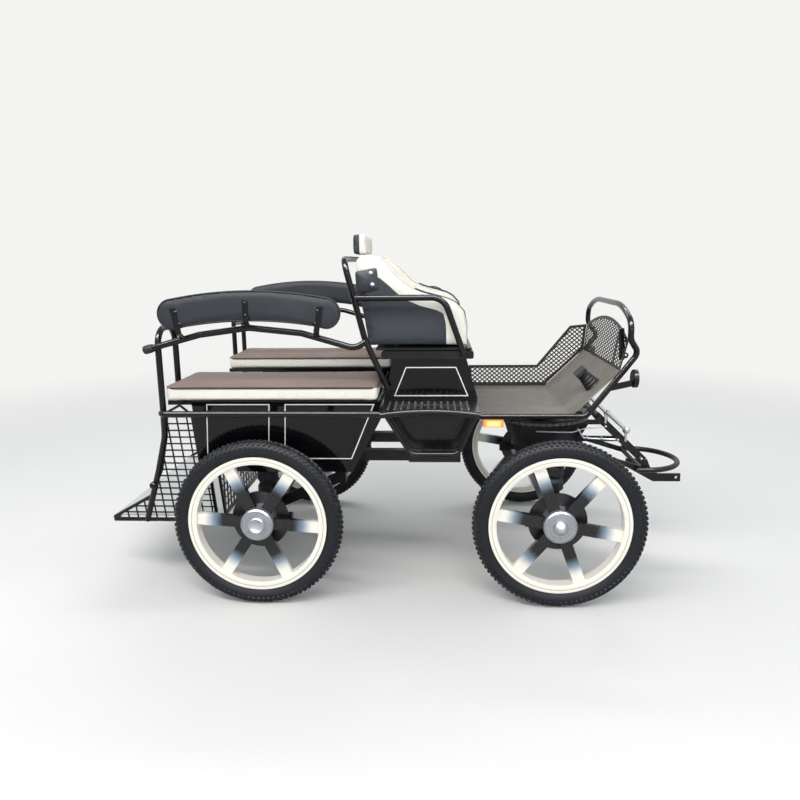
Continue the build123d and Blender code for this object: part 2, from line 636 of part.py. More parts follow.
def make_outer_rail():
    """The rail tube outside the body's side, with its brackets and the bent strap at its rear end."""
    rail = rod([(HOOP_X, -HOOP_OUT_Y, RAIL_TUBE_Z), (HOOP_X, -RAIL_OUT_Y, RAIL_TUBE_Z),
                (BODY_FRONT_X, -RAIL_OUT_Y, RAIL_TUBE_Z)], TUBE_R, 2 * TUBE_R)
    seat_y = side_y(RAIL_TUBE_Z + BENCH_LEG_T) + SEAT_GAP
    for share in BRACKET_SHARES:
        x = BODY_REAR_X + share * (SIDE_FRONT_X - BODY_REAR_X)
        rail = rail + block((x, x + 2 * TUBE_R), (-RAIL_OUT_Y, -seat_y), (RAIL_TUBE_Z, RAIL_TUBE_Z + BENCH_LEG_T))
    strap = slab(list(VEE) + [(x, z - STRAP_W / 2) for x, z in reversed(VEE)], -RAIL_OUT_Y + TUBE_R / 2, STRAP_T)
    return rail + strap


def back_line(x):
    """Height of a back rest board's middle line, a parabola over its length."""
    half = (BACK_X[1] - BACK_X[0]) / 2
    away = (x - (BACK_X[0] + half)) / half
    return BACK_END_Z + BACK_RISE * (1 - away * away)


def make_bench_back():
    """A padded board bent like a kidney, with round ends."""
    half_h = BACK_H / 2
    middle_x = (BACK_X[0] + BACK_X[1]) / 2
    in_x = (BACK_X[0] + half_h, BACK_X[1] - half_h)
    y = -BACK_Y - BACK_T
    low = ThreePointArc((in_x[0], y, back_line(in_x[0]) - half_h), (middle_x, y, back_line(middle_x) - half_h),
                        (in_x[1], y, back_line(in_x[1]) - half_h))
    end_front = ThreePointArc(low @ 1, (BACK_X[1], y, back_line(in_x[1])), (in_x[1], y, back_line(in_x[1]) + half_h))
    top = ThreePointArc(end_front @ 1, (middle_x, y, back_line(middle_x) + half_h),
                        (in_x[0], y, back_line(in_x[0]) + half_h))
    end_rear = ThreePointArc(top @ 1, (BACK_X[0], y, back_line(in_x[0])), low @ 0)
    face = make_face([low, end_front, top, end_rear])
    return extrude(face, amount=BACK_T, dir=(0, 1, 0))


def make_bench_rail():
    """The rear hoop, whose outer leg sweeps down beside the step, and the arched rail with three straps."""
    foot_z = BENCH_Z - CUSHION_T - BENCH_BOARD_T
    bend = (HOOP_OUT_Y - HOOP_IN_Y) * 0.4
    hoop = rod([(HOOP_X, -HOOP_OUT_Y, RAIL_TUBE_Z), (HOOP_X, -HOOP_OUT_Y, HOOP_TOP_Z), (HOOP_X, -HOOP_IN_Y, HOOP_TOP_Z),
                (HOOP_X, -HOOP_IN_Y, foot_z)], TUBE_R, bend)
    out = (TUBE_R + 2 * SEAT_GAP) / cos(side_lean())
    leg = rod([(HOOP_X, -HOOP_OUT_Y, RAIL_TUBE_Z)] + [(x, -side_y(z) - out, z) for x, z in LEG_POINTS], TUBE_R, LEG_BEND)
    joint = Pos(HOOP_X, -HOOP_OUT_Y, RAIL_TUBE_Z) * Sphere(TUBE_R)
    arch = rod([(px, -ARCH_Y, pz) for px, pz in ARCH_POINTS], TUBE_R, ARCH_BEND)
    tie = bar((HOOP_X, -HOOP_OUT_Y, TIE_Z), (HOOP_X, -HOOP_IN_Y, TIE_Z), STRAP_T, 2 * TUBE_R)
    rail = hoop + leg + joint + arch + tie + make_outer_rail()
    face_y = -BACK_Y - BACK_T - SEAT_GAP - STRAP_T / 2
    for foot_x, foot_z, top_x in BACK_STRAPS:
        knee = (foot_x + (top_x - foot_x) / 4, face_y, foot_z + 2 * TUBE_R)
        rail = rail + bar((foot_x, -ARCH_Y - TUBE_R / 2, foot_z), knee, STRAP_W, STRAP_T)
        half = STRAP_W / 2
        top_z = back_line(top_x) + STRAP_W
        flat = [(knee[0] - half, knee[2]), (knee[0] + half, knee[2]), (top_x + half, top_z), (top_x - half, top_z)]
        rail = rail + slab(flat, face_y - STRAP_T / 2, STRAP_T)
    return rail


# Driver's seat

def make_driver_side():
    outline = [(DRIVER_X[0], SEAT_Z), (DRIVER_X[1], SEAT_Z)] + list(SEAT_SIDE_TOP)
    return slab(outline, -DRIVER_Y, DRIVER_SIDE_T)


def make_driver_cushion():
    y = DRIVER_Y - DRIVER_SIDE_T - SEAT_GAP
    return block((DRIVER_X[0] + DRIVER_BACK_T, DRIVER_X[1]), (-y, y), (SEAT_Z, SEAT_Z + DRIVER_CUSHION_T))


def make_driver_back():
    y = DRIVER_Y - DRIVER_SIDE_T - SEAT_GAP
    x = DRIVER_X[0]
    outline = [(x, SEAT_Z), (x + DRIVER_BACK_T - SEAT_GAP, SEAT_Z)] + list(SEAT_BACK_FRONT)
    outline += [(x + SEAT_BACK_LEAN, DRIVER_BACK_TOP_Z)]
    return slab(outline, -y, 2 * y)


def make_head_pad():
    x = DRIVER_X[0] - HEAD_PAD_BACK
    return block((x, x + HEAD_PAD_T), (-HEAD_PAD_Y, HEAD_PAD_Y), (DRIVER_BACK_TOP_Z + SEAT_GAP, DRIVER_BACK_TOP_Z + HEAD_PAD_H))


def make_seat_frame():
    """The tube that leans back behind the driver's seat, its cross bar and the two arm rests."""
    half = [(x, z) for x, z in (FRAME_FOOT, FRAME_KNEE, FRAME_TOP)]
    points = [(x, -ARM_Y, z) for x, z in half] + [(x, ARM_Y, z) for x, z in reversed(half)]
    frame = rod(points, TUBE_R, list(FRAME_BENDS) + list(reversed(FRAME_BENDS)))
    for side in (-1, 1):
        y = side * ARM_Y
        frame = frame + rod([(ARM_REAR_X, y, ARM_Z), (ARM_BEND_X, y, ARM_Z), (ARM_FOOT_X, y, BOX_TOP_Z + TUBE_R)],
                            TUBE_R, ARM_BEND)
    return frame


# Treads and stirrups

def make_side_tread():
    """A ribbed plate beside the driver's box, its bowed edge tube and the stirrup that hangs from both."""
    plate = block(TREAD_X, (-TREAD_OUT_Y, -TREAD_IN_Y), (TREAD_Z - SHEET, TREAD_Z))
    ribs = []
    count = int((TREAD_X[1] - TREAD_X[0]) / TREAD_RIB_PITCH)
    for i in range(1, count):
        x = TREAD_X[0] + i * TREAD_RIB_PITCH
        ribs.append(block((x, x + TREAD_RIB_H), (-TREAD_OUT_Y + TUBE_R, -TREAD_IN_Y - TUBE_R),
                          (TREAD_Z - SHEET, TREAD_Z + TREAD_RIB_H)))
    tread = plate.fuse(*ribs)
    middle_x = (TREAD_X[0] + TREAD_X[1]) / 2
    path = ThreePointArc((TREAD_X[0], -TREAD_OUT_Y, TREAD_Z - TREAD_BOW), (middle_x, -TREAD_OUT_Y, TREAD_Z),
                         (TREAD_X[1], -TREAD_OUT_Y, TREAD_Z - TREAD_BOW))
    edge = sweep(Plane(origin=path @ 0, z_dir=path % 0) * Circle(TUBE_R), path=path)
    lug = block(TREAD_X, (-TREAD_IN_Y, -BOX_Y + BODY_T), (TREAD_Z - SHEET, BOX_LOW_Z))
    return tread + edge + lug + make_stirrup()


def make_stirrup():
    """Two bent bars with a ribbed strip between them for a foot."""
    loop = None
    for y, low_z in zip(STIRRUP_Y, STIRRUP_Z):
        top_z = TREAD_Z - TUBE_R / 2
        bent = rod([(STIRRUP_TOP_X[0], -y, top_z), (STIRRUP_X[0], -y, low_z), (STIRRUP_X[1], -y, low_z),
                    (STIRRUP_TOP_X[1], -y, top_z)], THIN_R, STIRRUP_BEND)
        bent = bent - block((STIRRUP_TOP_X[0] - TUBE_R, STIRRUP_TOP_X[1] + TUBE_R), (-y - TUBE_R, -y + TUBE_R),
                            (TREAD_Z - SHEET / 2, TREAD_Z + TUBE_R))
        loop = bent if loop is None else loop + bent
    x = (STIRRUP_X[0] + STIRRUP_BEND, STIRRUP_X[1] - STIRRUP_BEND / 2)
    strip = block(x, (-STIRRUP_Y[1], -STIRRUP_Y[0]), (STIRRUP_Z[0] - SHEET, STIRRUP_Z[0] + SHEET))
    for i in range(STIRRUP_RIBS):
        rib_x = x[0] + (i + 0.5) * (x[1] - x[0]) / STIRRUP_RIBS
        strip = strip + block((rib_x, rib_x + TREAD_RIB_H), (-STIRRUP_Y[1] + THIN_R, -STIRRUP_Y[0] - THIN_R),
                              (STIRRUP_Z[0], STIRRUP_Z[0] + SHEET + TREAD_RIB_H))
    sheet = slab([(STIRRUP_TOP_X[0], TREAD_Z - SHEET), (STIRRUP_X[0], STIRRUP_Z[0]), (STIRRUP_X[1], STIRRUP_Z[0]),
                  (STIRRUP_TOP_X[1], TREAD_Z - SHEET)], -STIRRUP_Y[0] - SHEET / 2, SHEET)
    return loop + strip + sheet


# Footwell

def board_slope():
    """The footboard's angle above the floor, in radians."""
    return atan2(BOARD_TOP_Z - FLOOR_Z, BOARD_TOP_X - WELL_X[1])


def make_footwell_floor():
    """Upstand, floor and sloping footboard in one folded sheet."""
    slope = board_slope()
    off = (WELL_T * sin(slope), -WELL_T * cos(slope))
    rear = WELL_X[0]
    crease = WELL_X[1]
    outline = [(rear, BOX_LOW_Z), (rear + WELL_T, BOX_LOW_Z), (rear + WELL_T, FLOOR_Z), (crease, FLOOR_Z),
               (BOARD_TOP_X, BOARD_TOP_Z), (BOARD_TOP_X + off[0], BOARD_TOP_Z + off[1]),
               (crease + off[0], FLOOR_Z - WELL_T), (rear, FLOOR_Z - WELL_T)]
    return slab(outline, -WELL_Y, 2 * WELL_Y)


def edge_tube(radius):
    """The tube along the footwell's edges that rises at the front into the dash hoop."""
    z = FLOOR_Z - WELL_T / 2
    half = [(WELL_X[0], WELL_EDGE_Y, z), (EDGE_BEND_X, WELL_EDGE_Y, z), (EDGE_TOP_X, WELL_EDGE_Y, EDGE_TOP_Z),
            (HOOP_FOOT_X, HOOP_FOOT_Y, HOOP_FOOT_Z), (HOOP_FOOT_X, HOOP_FOOT_Y, HOOP_SHOULDER_Z),
            (HOOP_FOOT_X, HOOP_CROWN_Y, HOOP_CROWN_Z)]
    bends = list(EDGE_BENDS)
    points = [(px, -py, pz) for px, py, pz in half] + list(reversed(half))
    return rod(points, radius, bends + list(reversed(bends)))


def make_footwell_frame():
    return edge_tube(TUBE_R)


def make_footwell_panel():
    """The left side's perforated panel, along the floor and up the footboard."""
    slope = board_slope()
    rise = WELL_T / cos(slope) / 2
    outline = [(WELL_X[0] + WELL_T, FLOOR_Z), (WELL_X[1], FLOOR_Z), (BOARD_TOP_X, BOARD_TOP_Z)]
    outline += [SIDE_PANEL_TOP[2], SIDE_PANEL_TOP[1], SIDE_PANEL_TOP[0], (WELL_X[0] + WELL_T, SIDE_PANEL_Z)]
    face = make_face(Polyline(*[(px, pz + rise) for px, pz in outline], close=True))
    panel = grille(face, LATTICE_EDGE, LATTICE_W, LATTICE_T, ((LATTICE_TURN, LATTICE_PITCH), (-LATTICE_TURN, LATTICE_PITCH)))
    stand = Plane(origin=(0, WELL_Y, 0), x_dir=(1, 0, 0), z_dir=(0, -1, 0))
    sill = block((WELL_X[0] + WELL_T, WELL_X[1]), (WELL_Y - 2 * LATTICE_T - SEAT_GAP, WELL_Y), (FLOOR_Z, FLOOR_Z + LATTICE_EDGE))
    return stand * panel + sill - edge_tube(TUBE_R + SEAT_GAP) - make_footwell_floor()


def make_dash_panel():
    """The perforated panel with an arched top that leans forward in front of the driver's feet."""
    y = WELL_Y - 2 * LATTICE_T - 2 * SEAT_GAP
    low = Line((-y, 0), (y, 0))
    top_z = (DASH_SIDE_Z - BOARD_TOP_Z) / cos(radians(DASH_LEAN))
    right = Line((y, 0), (DASH_SIDE_Y, top_z))
    arch = ThreePointArc((DASH_SIDE_Y, top_z), (0, top_z + DASH_RISE), (-DASH_SIDE_Y, top_z))
    left = Line((-DASH_SIDE_Y, top_z), (-y, 0))
    face = make_face([low, right, arch, left])
    panel = grille(face, LATTICE_EDGE, LATTICE_W, LATTICE_T, ((DASH_TURN, DASH_PITCH), (-DASH_TURN, DASH_PITCH)))
    strip_y = (DASH_STRIP_Y - DASH_STRIP_W / 2, DASH_STRIP_Y + DASH_STRIP_W / 2)
    panel = panel + block(strip_y, (0, top_z + DASH_RISE / 3), (0, 2 * LATTICE_T + SEAT_GAP))
    turn = radians(DASH_LEAN)
    lean = Plane(origin=(BOARD_TOP_X, 0, BOARD_TOP_Z + SEAT_GAP), x_dir=(0, 1, 0), z_dir=(cos(turn), 0, -sin(turn)))
    return lean * panel - edge_tube(TUBE_R + SEAT_GAP)


def make_brake_pedal():
    """A ribbed rubber boot square to the footboard with the foot's pad on its end."""
    slope = board_slope()
    x = WELL_X[1] + PEDAL_SHARE * (BOARD_TOP_X - WELL_X[1])
    z = FLOOR_Z + PEDAL_SHARE * (BOARD_TOP_Z - FLOOR_Z)
    outline = [(0, 0)]
    for i in range(PEDAL_RIBS + 1):
        share = i / PEDAL_RIBS
        r = PEDAL_R[0] + share * (PEDAL_R[1] - PEDAL_R[0])
        h = share * PEDAL_H
        outline.append((r, h))
        if i < PEDAL_RIBS:
            outline.append((r * 0.82, h + PEDAL_H / PEDAL_RIBS / 2))
    outline.append((0, PEDAL_H))
    boot = revolve(make_face(Polyline(*[(r, 0, h) for r, h in outline], close=True)), axis=Axis.Z)
    pad = Pos(0, 0, PEDAL_H + PEDAL_PAD[2] / 2) * Box(*PEDAL_PAD)
    pad = fillet(pad.edges().filter_by(Axis.Z), PEDAL_PAD[2] / 2)
    return Pos(x, PEDAL_Y, z) * Rot(0, -degrees(slope), 0) * (boot + pad)


def make_front_lamps():
    """A round lamp outside each front corner, on an arm up from the edge tube's bend."""
    x, y, z = LAMP_AT
    lamps = []
    for side in (-1, 1):
        shell = Pos(x, side * y, z) * Rot(0, 90, 0) * Cylinder(LAMP_R, LAMP_T)
        shell = fillet(shell.edges().filter_by(GeomType.CIRCLE).sort_by(Axis.X)[0], LAMP_T / 3)
        arm = bar((LAMP_ARM_FOOT[0], side * WELL_EDGE_Y, LAMP_ARM_FOOT[1]), (x - LAMP_T / 3, side * y, z - LAMP_R / 2),
                  PLATE, LAMP_ARM_W)
        lamps.append(shell + arm)
    room = edge_tube(TUBE_R + SEAT_GAP)
    return Compound(children=[lamp - room for lamp in lamps])


def make_side_markers():
    """Amber markers under the edge tube on both sides."""
    top = FLOOR_Z - WELL_T / 2 - TUBE_R - SEAT_GAP
    low_y = WELL_EDGE_Y - MARKER_T / 2
    markers = []
    for side in (-1, 1):
        y = sorted((side * low_y, side * (low_y + MARKER_T)))
        markers.append(block(MARKER_X, y, (top - MARKER_H, top)))
    return Compound(children=markers)


# Rear step

def make_step_floor():
    sheet = block((REAR_X, STEP_FRONT_X), (-SIDE_LOW_Y + SCREEN_EDGE, SIDE_LOW_Y - SCREEN_EDGE), (STEP_Z - STEP_T, STEP_Z))
    lip = block((REAR_X, REAR_X + STEP_T), (-SIDE_LOW_Y + SCREEN_EDGE, SIDE_LOW_Y - SCREEN_EDGE), (SIDE_LOW_Z, STEP_Z))
    return sheet + lip


def make_rear_screen():
    """A wire screen beside the rear step, with a low wing behind it."""
    edge = SIDE_LOW_Z
    front = BODY_REAR_X - SEAT_GAP
    low_x = STEP_FRONT_X - SCREEN_LOW_IN
    outline = on_side(list(SCREEN_REAR) + [(REAR_X, STEP_Z), (REAR_X, edge), (low_x, edge), (low_x, CABIN_Z - PLATE),
                                           (front, CABIN_Z - PLATE), (front, FRONT_TOP_Z)])
    face = make_face(Polyline(*outline, close=True))
    screen = grille(face, SCREEN_EDGE, WIRE, WIRE, ((90, WIRE_PITCH_X), (0, WIRE_PITCH_Z)))
    return side_plane() * Pos(0, 0, -2 * WIRE - SEAT_GAP) * screen


def make_riser_screen():
    """The wire screen across the back of the passengers' floor, from the step up to the frame."""
    z = (STEP_Z + SEAT_GAP, CHASSIS_Z - CROSS_SIZE / 4 - SEAT_GAP)
    low_y = side_y(z[0]) - 2 * SCREEN_EDGE
    top_y = side_y(z[1]) - 2 * SCREEN_EDGE
    face = make_face(Polyline((-low_y, z[0]), (low_y, z[0]), (top_y, z[1]), (-top_y, z[1]), close=True))
    screen = grille(face, SCREEN_EDGE, WIRE, WIRE, ((90, WIRE_PITCH_X), (0, WIRE_PITCH_Z)))
    across = Plane(origin=(STEP_FRONT_X - 2 * WIRE - 2 * SEAT_GAP, 0, 0), x_dir=(0, 1, 0), z_dir=(1, 0, 0))
    return across * screen


# Fore-carriage

def make_lower_ring():
    """The turntable's lower plate, with a row of teeth round its rim."""
    ring_z = NECK_TOP_Z - RAIL_H - RING_T - RING_GAP - RING_T / 2
    ring = Pos(FRONT_X, 0, ring_z) * (Cylinder(RING_R, RING_T) - Cylinder(RING_R - RING_W, 2 * RING_T))
    spoke = Pos(FRONT_X, 0, ring_z) * Box(2 * RING_R - RING_W, 2 * RING_W, RING_T)
    bore = Pos(FRONT_X, 0, ring_z) * Cylinder(KING_PIN_R + STUB_GAP, 2 * RING_T)
    notch_r = pi * RING_R / TOOTH_COUNT / 2
    notches = [Pos(FRONT_X, 0, ring_z) * Rot(0, 0, i * 360 / TOOTH_COUNT) * Pos(RING_R, 0, 0)
               * Cylinder(notch_r, 2 * RING_T) for i in range(TOOTH_COUNT)]
    return ring + spoke - bore - notches


def make_fore_frame():
    """Side plates and cross beams between the lower ring and the front axle's springs."""
    top = NECK_TOP_Z - RAIL_H - 2 * RING_T - RING_GAP
    low = FORE_DECK_Z - RAIL_H
    frame = None
    for side in (-1, 1):
        y = sorted((side * FORE_Y, side * (FORE_Y + PLATE)))
        plate = slab([(FRONT_X + FORE_PLATE_X[0], top), (FRONT_X + FORE_PLATE_X[1], top),
                      (FRONT_X + FORE_FOOT_X[1], low), (FRONT_X + FORE_FOOT_X[0], low)], y[0], PLATE)
        frame = plate if frame is None else frame + plate
    beam_y = FRONT_SPRING_Y + BELLOW_R
    beam = block((FRONT_X - RAIL_W, FRONT_X + RAIL_W), (-beam_y, beam_y),
                 (FRONT_SPRING_Z[1] + SEAT_GAP, FRONT_SPRING_Z[1] + PLATE))
    for x in FORE_FOOT_X:
        cross = Pos(FRONT_X + x * 0.9, 0, low + 2 * TUBE_R) * Rot(90, 0, 0) * Cylinder(TUBE_R, 2 * FORE_Y + PLATE)
        frame = frame + cross
    return frame + beam


def make_front_axle():
    axle = axle_beam(FRONT_X, -1)
    low_z = FRONT_SPRING_Z[0] - SEAT_GAP
    for side in (-1, 1):
        y = side * FRONT_SPRING_Y
        axle = axle + block((FRONT_X - AXLE_SIZE / 2, FRONT_X + AXLE_SIZE / 2), (y - AXLE_SIZE / 2, y + AXLE_SIZE / 2),
                            (AXLE_Z, low_z))
    return axle


def make_draw_frame():
    """The inclined and lower arms that reach forward, their cross tubes, and the half-round bow before the hitch."""
    y = FORE_Y + PLATE + ARM_SIZE[0] / 2
    frame = bow_tube()
    for side in (-1, 1):
        at = side * y
        high = bar((DRAW_TOP[0], at, DRAW_TOP[1]), (DRAW_FOOT[0], at, DRAW_FOOT[1]), *ARM_SIZE)
        foot = bar((DRAW_FOOT[0], at, DRAW_FOOT[1]), (CROSS_X + 2 * TUBE_R, at, BOW_Z), *ARM_SIZE)
        low = bar((DRAW_LOW[0], at, DRAW_LOW[1]), (CROSS_X, at, BOW_Z), ARM_SIZE[0], 3 * PLATE)
        tie = bar((DRAW_TIE[0], at, DRAW_TIE[2]), (DRAW_TIE[1], at, DRAW_TIE[2]), ARM_SIZE[0], 3 * PLATE)
        frame = frame + high + foot + low + tie
    for x, z in ((DRAW_TOP[0] + TUBE_R, DRAW_TOP[1] - TUBE_R), (CROSS_X, BOW_Z)):
        frame = frame + Pos(x, 0, z) * Rot(90, 0, 0) * Cylinder(CROSS_R, 2 * BOW_Y)
    return frame


def bow_tube():
    """The bow, a half ring that stands out level in front of the hitch."""
    rear_x = CROSS_X - 2 * TUBE_R
    corners = [(rear_x, -BOW_Y, BOW_Z), (BOW_X, -BOW_Y, BOW_Z), (BOW_X, BOW_Y, BOW_Z), (rear_x, BOW_Y, BOW_Z)]
    return rod(corners, TUBE_R, BOW_Y - SEAT_GAP)


def make_draw_struts():
    """Two bright turned rods with ball ends on ears beside the inclined arms."""
    inner = -(FORE_Y + PLATE + ARM_SIZE[0] + SEAT_GAP)
    y = inner - STRUT_R
    run = Vector(STRUT_FOOT[0] - STRUT_TOP[0], 0, STRUT_FOOT[1] - STRUT_TOP[1])
    neck = run.length - sqrt(STRUT_BALL_R ** 2 - STRUT_R ** 2)
    outline = [Line((0, 0), (STRUT_R, 0)), Line((STRUT_R, 0), (STRUT_R, neck)),
               ThreePointArc((STRUT_R, neck), (STRUT_BALL_R, run.length), (0, run.length + STRUT_BALL_R)),
               Line((0, run.length + STRUT_BALL_R), (0, 0))]
    turned_rod = revolve(make_face(outline), axis=Axis.Y)
    along = Plane(origin=(STRUT_TOP[0], y, STRUT_TOP[1]), x_dir=(0, 1, 0), z_dir=run.cross(Vector(0, -1, 0)))
    strut = along * turned_rod
    for x, z in (STRUT_TOP, STRUT_FOOT):
        ear = block((x - STRUT_R / 2, x + STRUT_R / 2), (y, inner), (z - 6 * STRUT_R, z))
        strut = strut + ear
    return Compound(children=[strut, mirror(strut, about=Plane.XZ)])


def make_hitch():
    """The flat tongue with the pole's bolt hole, hung from the front cross tube."""
    half = HITCH_H / 2
    top = BOW_Z
    tongue = slab([(HITCH_TOP_X[0], top), (HITCH_TOP_X[1], top), (HITCH_KNEE_X[1], HITCH_Z + half),
                   (NOSE_X, HITCH_Z + half), (NOSE_X, HITCH_Z - half), (HITCH_KNEE_X[0], HITCH_Z - half),
                   (HITCH_TOP_X[0], BOW_Z - HITCH_H)], -HITCH_T / 2, HITCH_T)
    bore = Pos(NOSE_X - half, 0, HITCH_Z) * Rot(90, 0, 0) * Cylinder(HITCH_BORE_R, 2 * HITCH_T)
    seat = Pos(CROSS_X, 0, BOW_Z) * Rot(90, 0, 0) * Cylinder(CROSS_R + SEAT_GAP, 2 * HITCH_T)
    return tongue - bore - seat


def build():
    make_wheels()
    keep("rear_axle", make_rear_axle())
    keep("rear_bellows", make_bellows(AXLE_REAR_X, BELLOW_Y, BELLOW_LOW_Z, CHASSIS_Z - CROSS_SIZE / 4 - SEAT_GAP, BELLOW_R))
    keep("main_frame", make_main_frame())
    keep("under_box", make_under_box())
    sides("body_side", make_body_side)
    keep("body_floor", make_body_floor())
    keep("body_front", make_body_front())
    keep("driver_box", make_driver_box())
    keep("seat_board", make_seat_board())
    sides("bench_cushion", make_bench_cushion)
    sides("bench_base", make_bench_base)
    sides("bench_back", make_bench_back)
    sides("bench_rail", make_bench_rail)
    sides("driver_side", make_driver_side)
    keep("driver_cushion", make_driver_cushion())
    keep("driver_back", make_driver_back())
    keep("head_pad", make_head_pad())
    keep("seat_frame", make_seat_frame())
    sides("side_tread", make_side_tread)
    keep("footwell_floor", make_footwell_floor())
    keep("footwell_frame", make_footwell_frame())
    keep("footwell_panel", make_footwell_panel())
    keep("dash_panel", make_dash_panel())
    keep("brake_pedal", make_brake_pedal())
    keep("front_lamps", make_front_lamps())
    keep("side_markers", make_side_markers())
    keep("step_floor", make_step_floor())
    sides("rear_screen", make_rear_screen)
    keep("riser_screen", make_riser_screen())
    keep("lower_ring", make_lower_ring())
    keep("fore_frame", make_fore_frame())
    keep("front_axle", make_front_axle())
    keep("front_springs", make_bellows(FRONT_X, FRONT_SPRING_Y, FRONT_SPRING_Z[0], FRONT_SPRING_Z[1], BELLOW_R))
    keep("draw_frame", make_draw_frame())
    keep("draw_struts", make_draw_struts())
    keep("hitch", make_hitch())


build()
os.makedirs("parts", exist_ok=True)
for name, shape in PARTS.items():
    export_step(shape, "parts/" + name + ".step")
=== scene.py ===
"""Looks for an open horse drawn carriage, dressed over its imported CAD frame.

Metres, +X forward, +Z up, and the carriage's right side is -Y. Every new piece is an array of points worked
out from two parameters, or a CAD solid that is remeshed and stuffed, and it rides on a body of the frame.
"""

import math

import bmesh
import bpy
import numpy as np
from mathutils import Matrix, Vector


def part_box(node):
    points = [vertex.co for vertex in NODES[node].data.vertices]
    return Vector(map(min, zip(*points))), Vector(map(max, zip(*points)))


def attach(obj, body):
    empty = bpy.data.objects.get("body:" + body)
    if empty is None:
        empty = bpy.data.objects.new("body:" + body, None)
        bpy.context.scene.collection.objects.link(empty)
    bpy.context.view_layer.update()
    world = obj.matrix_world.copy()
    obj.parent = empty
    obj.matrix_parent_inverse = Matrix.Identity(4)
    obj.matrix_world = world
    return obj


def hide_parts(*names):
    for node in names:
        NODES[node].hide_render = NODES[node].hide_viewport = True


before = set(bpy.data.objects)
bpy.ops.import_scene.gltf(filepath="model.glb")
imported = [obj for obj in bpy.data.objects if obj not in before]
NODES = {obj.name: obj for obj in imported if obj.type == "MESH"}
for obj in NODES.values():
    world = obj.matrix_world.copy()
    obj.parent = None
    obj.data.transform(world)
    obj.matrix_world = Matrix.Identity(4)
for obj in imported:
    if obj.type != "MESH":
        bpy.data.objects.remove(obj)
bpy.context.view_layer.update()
BODY = "carriage_body"
FORE = "fore_carriage"
HANDS = (("right", -1), ("left", 1))

# Places that the looks share with the frame
AXLE_X = 0.610
AXLE_Z = 0.350
ENDS = (("front", AXLE_X), ("rear", -AXLE_X))
WHEEL_Y = 0.615
BENCH_SEAM = 0.905
BACK_OUT_Y = 0.658
TYRE_R = 0.350
TYRE_RING = 0.306               # radius of the tube's middle line
TYRE_CROWN = 0.038
TYRE_HALF = 0.0325
TYRE_FLARE = 0.24
TYRE_GRID = (160, 30)
KNOB_COUNT = 96
RIM_GROOVE_R = 0.2705
DISC_R = 0.0675                 # where the hub's bright cover ends and the dark disc begins
PANEL_END_X = 0.1595            # front edge of the black panel in a seat side
PANEL_OUT_Y = 0.405
HEAD_SEAM_X = -0.2215
PIPING_R = 0.0034
PIPING_Y = 0.3535
WELT_R = 0.0036

# Colours as they are written in the finished picture
CREAM = (0.84, 0.82, 0.75)
CREAM_PAINT = (0.86, 0.83, 0.75)
BLACK_PAINT = (0.003, 0.003, 0.004)
BLACK_HIDE = (0.030, 0.036, 0.046)
TAUPE = (0.205, 0.140, 0.115)
RUBBER = (0.007, 0.008, 0.012)
STEEL = (0.46, 0.47, 0.50)
CHEQUER = (0.50, 0.51, 0.52)
MAT = (0.205, 0.185, 0.162)
PALE = (0.90, 0.90, 0.89)      # the backdrop as the camera sees it


# Materials

class Wire:
    """A node socket that adds Math nodes when it is used in an expression."""

    def __init__(self, paint, socket):
        self.paint = paint
        self.socket = socket

    def math(self, operation, *values):
        """Add one Math node."""
        return self.paint.node("ShaderNodeMath", {"operation": operation}, dict(enumerate(values)))

    def __add__(self, other):
        return self.math("ADD", self, other)

    def __radd__(self, other):
        return self.math("ADD", other, self)

    def __sub__(self, other):
        return self.math("SUBTRACT", self, other)

    def __rsub__(self, other):
        return self.math("SUBTRACT", other, self)

    def __mul__(self, other):
        return self.math("MULTIPLY", self, other)

    def __rmul__(self, other):
        return self.math("MULTIPLY", other, self)

    def __truediv__(self, other):
        return self.math("DIVIDE", self, other)

    def __rtruediv__(self, other):
        return self.math("DIVIDE", other, self)

    def __pow__(self, other):
        return self.math("POWER", self, other)

    def __lt__(self, other):
        return self.math("LESS_THAN", self, other)

    def __gt__(self, other):
        return self.math("GREATER_THAN", self, other)

    def __abs__(self):
        return self.math("ABSOLUTE", self)

    def larger(self, other):
        """The larger of two values."""
        return self.math("MAXIMUM", self, other)

    def wave(self):
        """The sine of the value."""
        return self.math("SINE", self)

    def root(self):
        """The square root of the value."""
        return self.math("SQRT", self)

    def step(self, start, end):
        """0 below start, 1 above end, with a smooth rise between them."""
        made = {"interpolation_type": "SMOOTHSTEP"}
        return self.paint.node("ShaderNodeMapRange", made, {0: self, 1: start, 2: end, 3: 0.0, 4: 1.0})


